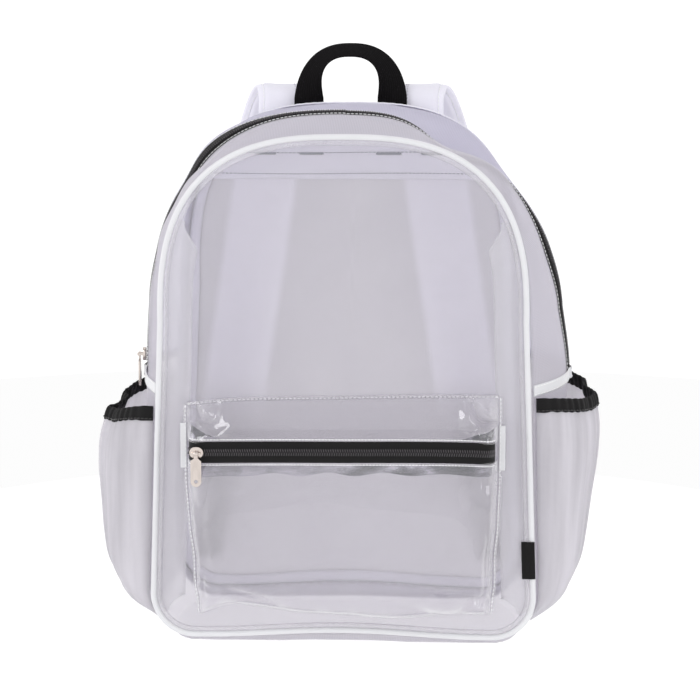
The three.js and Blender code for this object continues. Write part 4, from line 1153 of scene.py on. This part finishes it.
def make_handle():
    bag = Bag()
    width = sizes().webbing / MM
    half_span, bow_height, tilt = 35.5, 40.5, math.radians(66)
    foot, spring = bag.back["top"] - 38, bag.back["top"] + 6
    square, hurry = 0.82, 0.5
    foot_y = bag.back_y(half_span, foot) + 0.6 + GAP + 0.8
    bow_y = bag.back_y(half_span, foot) + bag.stand + 0.6 + GAP + 0.8
    legs = np.linspace(0, 1, 24)
    leg_z = mix(foot, spring, legs)
    leg_y = mix(foot_y, bow_y, smooth(foot + 12, bag.back["top"] - 15, leg_z))
    bow = np.linspace(0, math.pi, 170)
    turn = np.concatenate([0 * legs[:-1], bow, 0 * legs[:-1] + math.pi])
    y = np.concatenate([leg_y[:-1], bow_y + 0 * bow, leg_y[:-1][::-1]])
    z = np.concatenate([leg_z[:-1], spring + 0 * bow, leg_z[:-1][::-1]])

    def place(i, across, up):
        i = i.astype(int)
        t = turn[i]
        arc = lambda q: stack(half_span * np.sign(np.cos(q)) * np.abs(np.cos(q)) ** square, 0,
                              bow_height * np.maximum(np.sin(q), 0) ** square)
        middle = arc(t) + stack(0, y[i], z[i])
        lean = tilt * np.maximum(np.sin(t), 0) ** hurry
        inside = (t > 0) & (t < math.pi)
        ahead = unit(arc(np.minimum(t + 0.02, math.pi)) - arc(np.maximum(t - 0.02, 0)))
        ahead = np.where(inside[..., None], ahead, stack(0, 0, np.cos(t)))
        outward = stack(ahead[..., 2], 0, -ahead[..., 0])
        broad = outward * np.cos(lean)[..., None] + stack(0, np.sin(lean), 0)
        thin = unit(np.cross(ahead, broad))
        return middle + broad * (across + 0 * t)[..., None] + thin * (up + 0 * t)[..., None]

    h = width / 2
    section = [(-h, 0), (-h + 0.15, -0.5), (-h + 0.7, -0.72), (0, -0.78), (h - 0.7, -0.72), (h - 0.15, -0.5),
               (h, 0), (h - 0.15, 0.5), (h - 0.7, 0.72), (0, 0.78), (-h + 0.7, 0.72), (-h + 0.15, 0.5)]
    fine = []
    for a, b in zip(section, section[1:] + section[:1]):
        fine += [tuple(mix(np.array(a), np.array(b), k / 2)) for k in range(2)]
    obj = swept("grab_handle_webbing", bent(fine, np.arange(len(turn)), place))
    dress(obj, "webbing", nodes=["grab_handle"])
    for side, label in ((-1, "left"), (1, "right")):
        middle = side * half_span
        corners = [(-9.5, 3), (9.5, 3), (9.5, 20), (-9.5, 20), (-9.5, 3), (9.5, 20), (9.5, 3), (-9.5, 20)]
        path = []
        for (x0, z0), (x1, z1) in zip(corners, corners[1:]):
            t = np.linspace(0, 1, 14)[:, None]
            path.append(mix(np.array([[x0, z0]]), np.array([[x1, z1]]), t))
        path = np.concatenate(path)
        zs = foot + path[:, 1]
        out = mix(foot_y, bow_y, smooth(foot + 12, bag.back["top"] - 15, zs)) + 0.95
        stitches(f"handle_stitches_{label}", stack(middle + path[:, 0], out, zs), (0, 1, 0), "black_thread")


class Strap:
    """A shoulder strap's line, width and thickness from its root to its lower end."""

    def __init__(self, bag, side):
        keys = np.arange(len(STRAP))
        table = np.array(STRAP)
        half, top = bag.half * 0.968, bag.back["top"]
        self.column = lambda s, k, scale: read(list(zip(keys, table[:, k])), s * (len(STRAP) - 1)) * scale
        self.line = lambda s: stack(side * self.column(s, 0, half), bag.depth / 2 + self.column(s, 2, 55),
                                    self.column(s, 1, top))
        self.side = side

    def place(self, s, across, up):
        """across and up are shares of half the strap's width and thickness."""
        middle = self.line(s)
        ahead = unit(self.line(np.minimum(s + 2e-3, 1)) - self.line(np.maximum(s - 2e-3, 0)))
        thin = unit(np.cross(np.array([1.0, 0, 0]), ahead))
        broad = np.cross(ahead, thin)
        width, thick = self.column(s, 3, 55) / 2, self.column(s, 4, 10) / 2
        return middle + broad * (across * width)[..., None] + thin * (up * thick)[..., None]


def make_straps():
    bag = Bag()
    for side, label in ((-1, "left"), (1, "right")):
        strap = Strap(bag, side)
        s = np.linspace(0, 1, 260)
        turn = np.linspace(0, 2 * math.pi, 49)[:-1]
        across = np.sign(np.cos(turn)) * np.abs(np.cos(turn)) ** 0.45
        up = np.sign(np.sin(turn)) * np.abs(np.sin(turn)) ** 0.8
        sewn = 1 - 0.62 * smooth(0.72, 0.9, np.abs(across))
        up = up * sewn
        rings = strap.place(s[:, None], across[None, :] + 0 * s[:, None], up[None, :] + 0 * s[:, None])
        swell = 0.35 * ripples(s[:, None] * 40, across[None, :] * 2.4, 83 + side)
        rings = rings + unit(rings - rings.mean(1, keepdims=True)) * (swell * (np.abs(across) < 0.7))[..., None]
        obj = swept(f"shoulder_strap_{label}_pad", rings)
        dress(obj, "white_cloth", nodes=[f"shoulder_strap_{label}"])
        for edge in (-1, 1):
            tag = f"{label}_{'inner' if edge * side < 0 else 'outer'}"
            shape = [(0.80, 0.56), (0.86, 0.5), (0.95, 0.42), (1.012, 0.2), (1.02, 0), (1.012, -0.2), (0.95, -0.42),
                     (0.86, -0.5), (0.80, -0.56), (0.80, -0.3), (0.9, 0), (0.80, 0.3)]
            shape = [(edge * a, b) for a, b in shape]
            binding = bent(shape, np.linspace(0.02, 0.985, 240), lambda q, a, u: strap.place(q + 0 * a, a + 0 * q, u + 0 * q))
            dress(swept(f"strap_binding_{tag}", binding), "white_binding")
            for face in (-1, 1):
                q = np.linspace(0.03, 0.98, 300)
                path = strap.place(q, edge * 0.835 + 0 * q, face * 0.6 + 0 * q)
                up_way = strap.place(q, edge * 0.835 + 0 * q, face * 1.6 + 0 * q) - path
                stitches(f"strap_stitches_{tag}_{'back' if face < 0 else 'front'}", path, up_way, "white_thread")
        for k, place in enumerate((0.24, 0.31)):
            q = np.linspace(0.01, 0.42, 130)
            for face in (-1, 1):
                path = strap.place(q, -side * place + 0 * q, face * 1.0 + 0 * q)
                up_way = strap.place(q, -side * place + 0 * q, face * 2.0 + 0 * q) - path
                stitches(f"strap_root_seam_{label}_{k}_{'back' if face < 0 else 'front'}", path, up_way,
                         "seam_thread")
        softened(f"strap_buckle_{label}", f"strap_buckle_{label}_lock", "plastic", "bag", 0.0007)
        lower_webbing(bag, side, label)


def lower_webbing(bag, side, label):
    """The webbing from the bag's foot, up behind the lock, through its slot and down as a tail."""
    half, top = bag.half * 0.968, bag.back["top"]
    end = STRAP[-1]
    end_x, end_z, end_back = end[0] * half, end[1] * top, end[2] * 55
    slope = (end_back - STRAP[-2][2] * 55) / (STRAP[-2][1] * top - end_z)
    anchor_x, anchor_z, anchor_back = half - 24, 34, 4
    lock_x = end_x + (anchor_x - end_x) * 12 / (end_z - anchor_z)
    lock_z, lock_back = end_z - GAP - 2.2 - 12, end_back + slope * (12 + GAP)
    clear = 1.6 + GAP + 0.7 + 0.35
    slot = lock_z - 5
    crest = slot + 2.5 - GAP - 1.0
    foot = lock_z - 12
    shift = lambda t: mix(lock_x, anchor_x, t)
    rows = [(anchor_x, anchor_z, anchor_back),
            (shift(0.5), mix(anchor_z, foot, 0.5), mix(anchor_back, lock_back - clear, 0.55)),
            (shift(0.06), foot, lock_back - clear),
            (shift(0), slot - 2.5, lock_back - clear),
            (shift(0), crest, lock_back),
            (shift(0), slot - 2.5, lock_back + clear),
            (shift(0.04), foot, lock_back + clear),
            (shift(0.06), foot - 42, lock_back + clear + 2)]
    at = np.cumsum([0] + [math.dist(a, b) ** 0.5 for a, b in zip(rows, rows[1:])])
    curve = lambda t: np.stack([side * read(list(zip(at, [r[0] for r in rows])), t),
                                bag.depth / 2 + read(list(zip(at, [r[2] for r in rows])), t),
                                read(list(zip(at, [r[1] for r in rows])), t)], axis=-1)
    fine = np.linspace(0, at[-1], 160)

    def place(t, across, up):
        middle = curve(t + 0 * across)
        ahead = unit(curve(np.minimum(t + 0.05, at[-1]) + 0 * across) - curve(np.maximum(t - 0.05, 0) + 0 * across))
        thin = unit(np.cross(np.array([1.0, 0, 0]), ahead))
        broad = np.cross(ahead, thin)
        return middle + broad * (across + 0 * t)[..., None] + thin * (up + 0 * t)[..., None]

    section = [(-12.5, 0), (-12.2, -0.5), (-6, -0.62), (0, -0.65), (6, -0.62), (12.2, -0.5), (12.5, 0),
               (12.2, 0.5), (6, 0.62), (0, 0.65), (-6, 0.62), (-12.2, 0.5)]
    obj = swept(f"strap_webbing_{label}_tape", bent(section, fine, place))
    dress(obj, "webbing", nodes=[f"strap_webbing_{label}"])


def make_label():
    bag = Bag()
    heights = np.linspace(59.5, 90.5, 24)
    reaches = np.linspace(-2.2, 8.6, 14)
    over, lay = bag.piping + 0.35 + 0.4 + 0.1, LAY
    shares = bag.shares_at(bag.front, heights)[:, None]
    spot = bag.inset(bag.front, shares + 0 * reaches[None, :], reaches[None, :] + 0 * shares)
    lift = mix(over, lay, smooth(0, 7.5, reaches)[None, :])
    curl = 0.25 * np.sin((heights - 59.5) / 31 * math.pi)[:, None]
    points = stack(spot[..., 0], bag.front_y(spot[..., 0], spot[..., 1]) - lift - curl, spot[..., 1])
    dress(skin("side_label_cloth", points, 0.7), "edge_cloth", nodes=["side_label"])


# Stage


def make_stage():
    """A white bowl, soft lights and a camera at the photograph's angle."""
    deselect()
    rim = [(0, 0), (1.2, 0), (2.4, 0), (2.9, 0.04), (3.3, 0.2), (3.6, 0.55), (3.75, 1.1), (3.8, 2.0), (3.8, 3.4)]
    turn = np.linspace(0, 2 * math.pi, 73)[:-1]
    points = np.array([[(r * math.cos(a), r * math.sin(a), z) for r, z in rim[1:]] for a in turn]) / MM
    faces = grid_faces(len(turn), len(rim) - 1, loop=True)
    centre = len(turn) * (len(rim) - 1)
    every = np.concatenate([points.reshape(-1, 3), [[0, 0, 0]]])
    spokes = [(centre, k * (len(rim) - 1), ((k + 1) % len(turn)) * (len(rim) - 1)) for k in range(len(turn))]
    bowl = mesh_object("studio_floor", every - [0, 0, 0.25], [tuple(face) for face in faces] + spokes)
    f = Finish("studio_white")
    grain = f.noise(f.place("Object"), 3.0)
    tone = f.blend(grain, (0.13, 0.13, 0.13), (0.14, 0.14, 0.14))
    bowl.data.materials.append(f.done(f.surface(Base_Color=tone, Roughness=0.9, Emission_Color=(1.0, 1.0, 1.0),
                                                Emission_Strength=0.98)))

    def lamp(name, place, target, width, height, power, tone=(1, 1, 1)):
        light = bpy.data.lights.new(name, "AREA")
        light.shape, light.size, light.size_y = "RECTANGLE", width, height
        light.energy, light.color = power, tone
        obj = bpy.data.objects.new(name, light)
        bpy.context.scene.collection.objects.link(obj)
        obj.location = place
        obj.rotation_euler = (Vector(target) - Vector(place)).to_track_quat("-Z", "Y").to_euler()

    middle = (0, 0, 0.22)
    lamp("key_light", (-1.3, -1.7, 1.9), middle, 0.9, 1.1, 13)
    lamp("right_light", (1.9, -1.1, 1.0), middle, 0.5, 1.5, 6)
    lamp("left_strip", (-1.9, 0.1, 0.6), middle, 0.25, 1.4, 4)
    lamp("top_light", (0.1, 0.3, 2.3), middle, 1.4, 1.0, 5)
    lamp("back_light", (0.4, 2.2, 1.3), middle, 1.2, 1.0, 3)

    world = bpy.data.worlds.new("studio")
    world.use_nodes = True
    world.node_tree.nodes["Background"].inputs[0].default_value = (1, 1, 1, 1)
    world.node_tree.nodes["Background"].inputs[1].default_value = 0.55
    scene = bpy.context.scene
    scene.world = world
    scene.view_settings.view_transform = "Standard"
    if hasattr(scene, "cycles"):
        scene.cycles.transparent_max_bounces = 40

    azimuth, rise, far = math.radians(2.5), math.radians(10), 1.728
    target = Vector((0.006, -0.072, 0.2465))
    way = Vector((math.sin(azimuth) * math.cos(rise), -math.cos(azimuth) * math.cos(rise), math.sin(rise)))
    data = bpy.data.cameras.new("photo_camera")
    data.lens, data.sensor_width, data.sensor_fit = 111.1, 36, "HORIZONTAL"
    data.clip_start, data.clip_end = 0.05, 50
    camera = bpy.data.objects.new("photo_camera", data)
    scene.collection.objects.link(camera)
    camera.location = target + way * far
    camera.rotation_euler = (-way).to_track_quat("-Z", "Y").to_euler()
    scene.camera = camera


# Operators, one for each piece or group of like pieces


def operator(name, label, doc, make):
    def execute(self, context):
        make()
        return {"FINISHED"}

    members = {"bl_idname": f"backpack.{name}", "bl_label": label, "bl_options": {"REGISTER", "UNDO"},
               "__doc__": doc, "execute": execute}
    return type(f"BACKPACK_OT_{name}", (bpy.types.Operator,), members)


OPERATORS = [
    operator("stage", "Stage", "The white studio, its lights and the camera", make_stage),
    operator("panels", "Panels and piping", "The clear front, its piping, the sheer back and its binding", make_panels),
    operator("gussets", "Gussets", "The clear film round the sides, top and foot, and the seam bands", make_gussets),
    operator("zips", "Zips", "Tape and coil of the main zip and the pocket's", make_zips),
    operator("pulls", "Sliders and pullers", "The nickel sliders and their hanging pullers", make_pulls),
    operator("front_pocket", "Front pocket", "The clear pocket, its hems, stitches and end tabs", make_front_pocket),
    operator("side_pockets", "Side pockets", "The sheer pockets and their gathered edges", make_side_pockets),
    operator("yoke", "Yoke", "White cloth behind the top of the back, with its stitching", make_yoke),
    operator("handle", "Grab handle", "The webbing handle and its sewn feet", make_handle),
    operator("straps", "Shoulder straps", "Padded straps, their bindings, locks and webbing", make_straps),
    operator("label", "Side label", "The bare black tab over the right seam", make_label),
]


class BACKPACK_PT_pieces(bpy.types.Panel):
    """The backpack's pieces, in the order they are made"""

    bl_idname = "BACKPACK_PT_pieces"
    bl_label = "Clear backpack"
    bl_space_type = "VIEW_3D"
    bl_region_type = "UI"
    bl_category = "Backpack"

    def draw(self, context):
        for made in OPERATORS:
            self.layout.operator(made.bl_idname)
        for group in (context.scene.backpack_sizes, context.scene.backpack_colours):
            box = self.layout.box()
            for name in group.__annotations__:
                box.prop(group, name)


CLASSES = [BackpackSizes, BackpackColours, *OPERATORS, BACKPACK_PT_pieces]


def register():
    for made in CLASSES:
        bpy.utils.register_class(made)
    bpy.types.Scene.backpack_sizes = PointerProperty(type=BackpackSizes)
    bpy.types.Scene.backpack_colours = PointerProperty(type=BackpackColours)


def unregister():
    del bpy.types.Scene.backpack_sizes
    del bpy.types.Scene.backpack_colours
    for made in reversed(CLASSES):
        bpy.utils.unregister_class(made)


def main():
    register()
    for made in OPERATORS:
        group, name = made.bl_idname.split(".")
        getattr(getattr(bpy.ops, group), name)()
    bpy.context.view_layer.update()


if __name__ == "__main__":
    main()
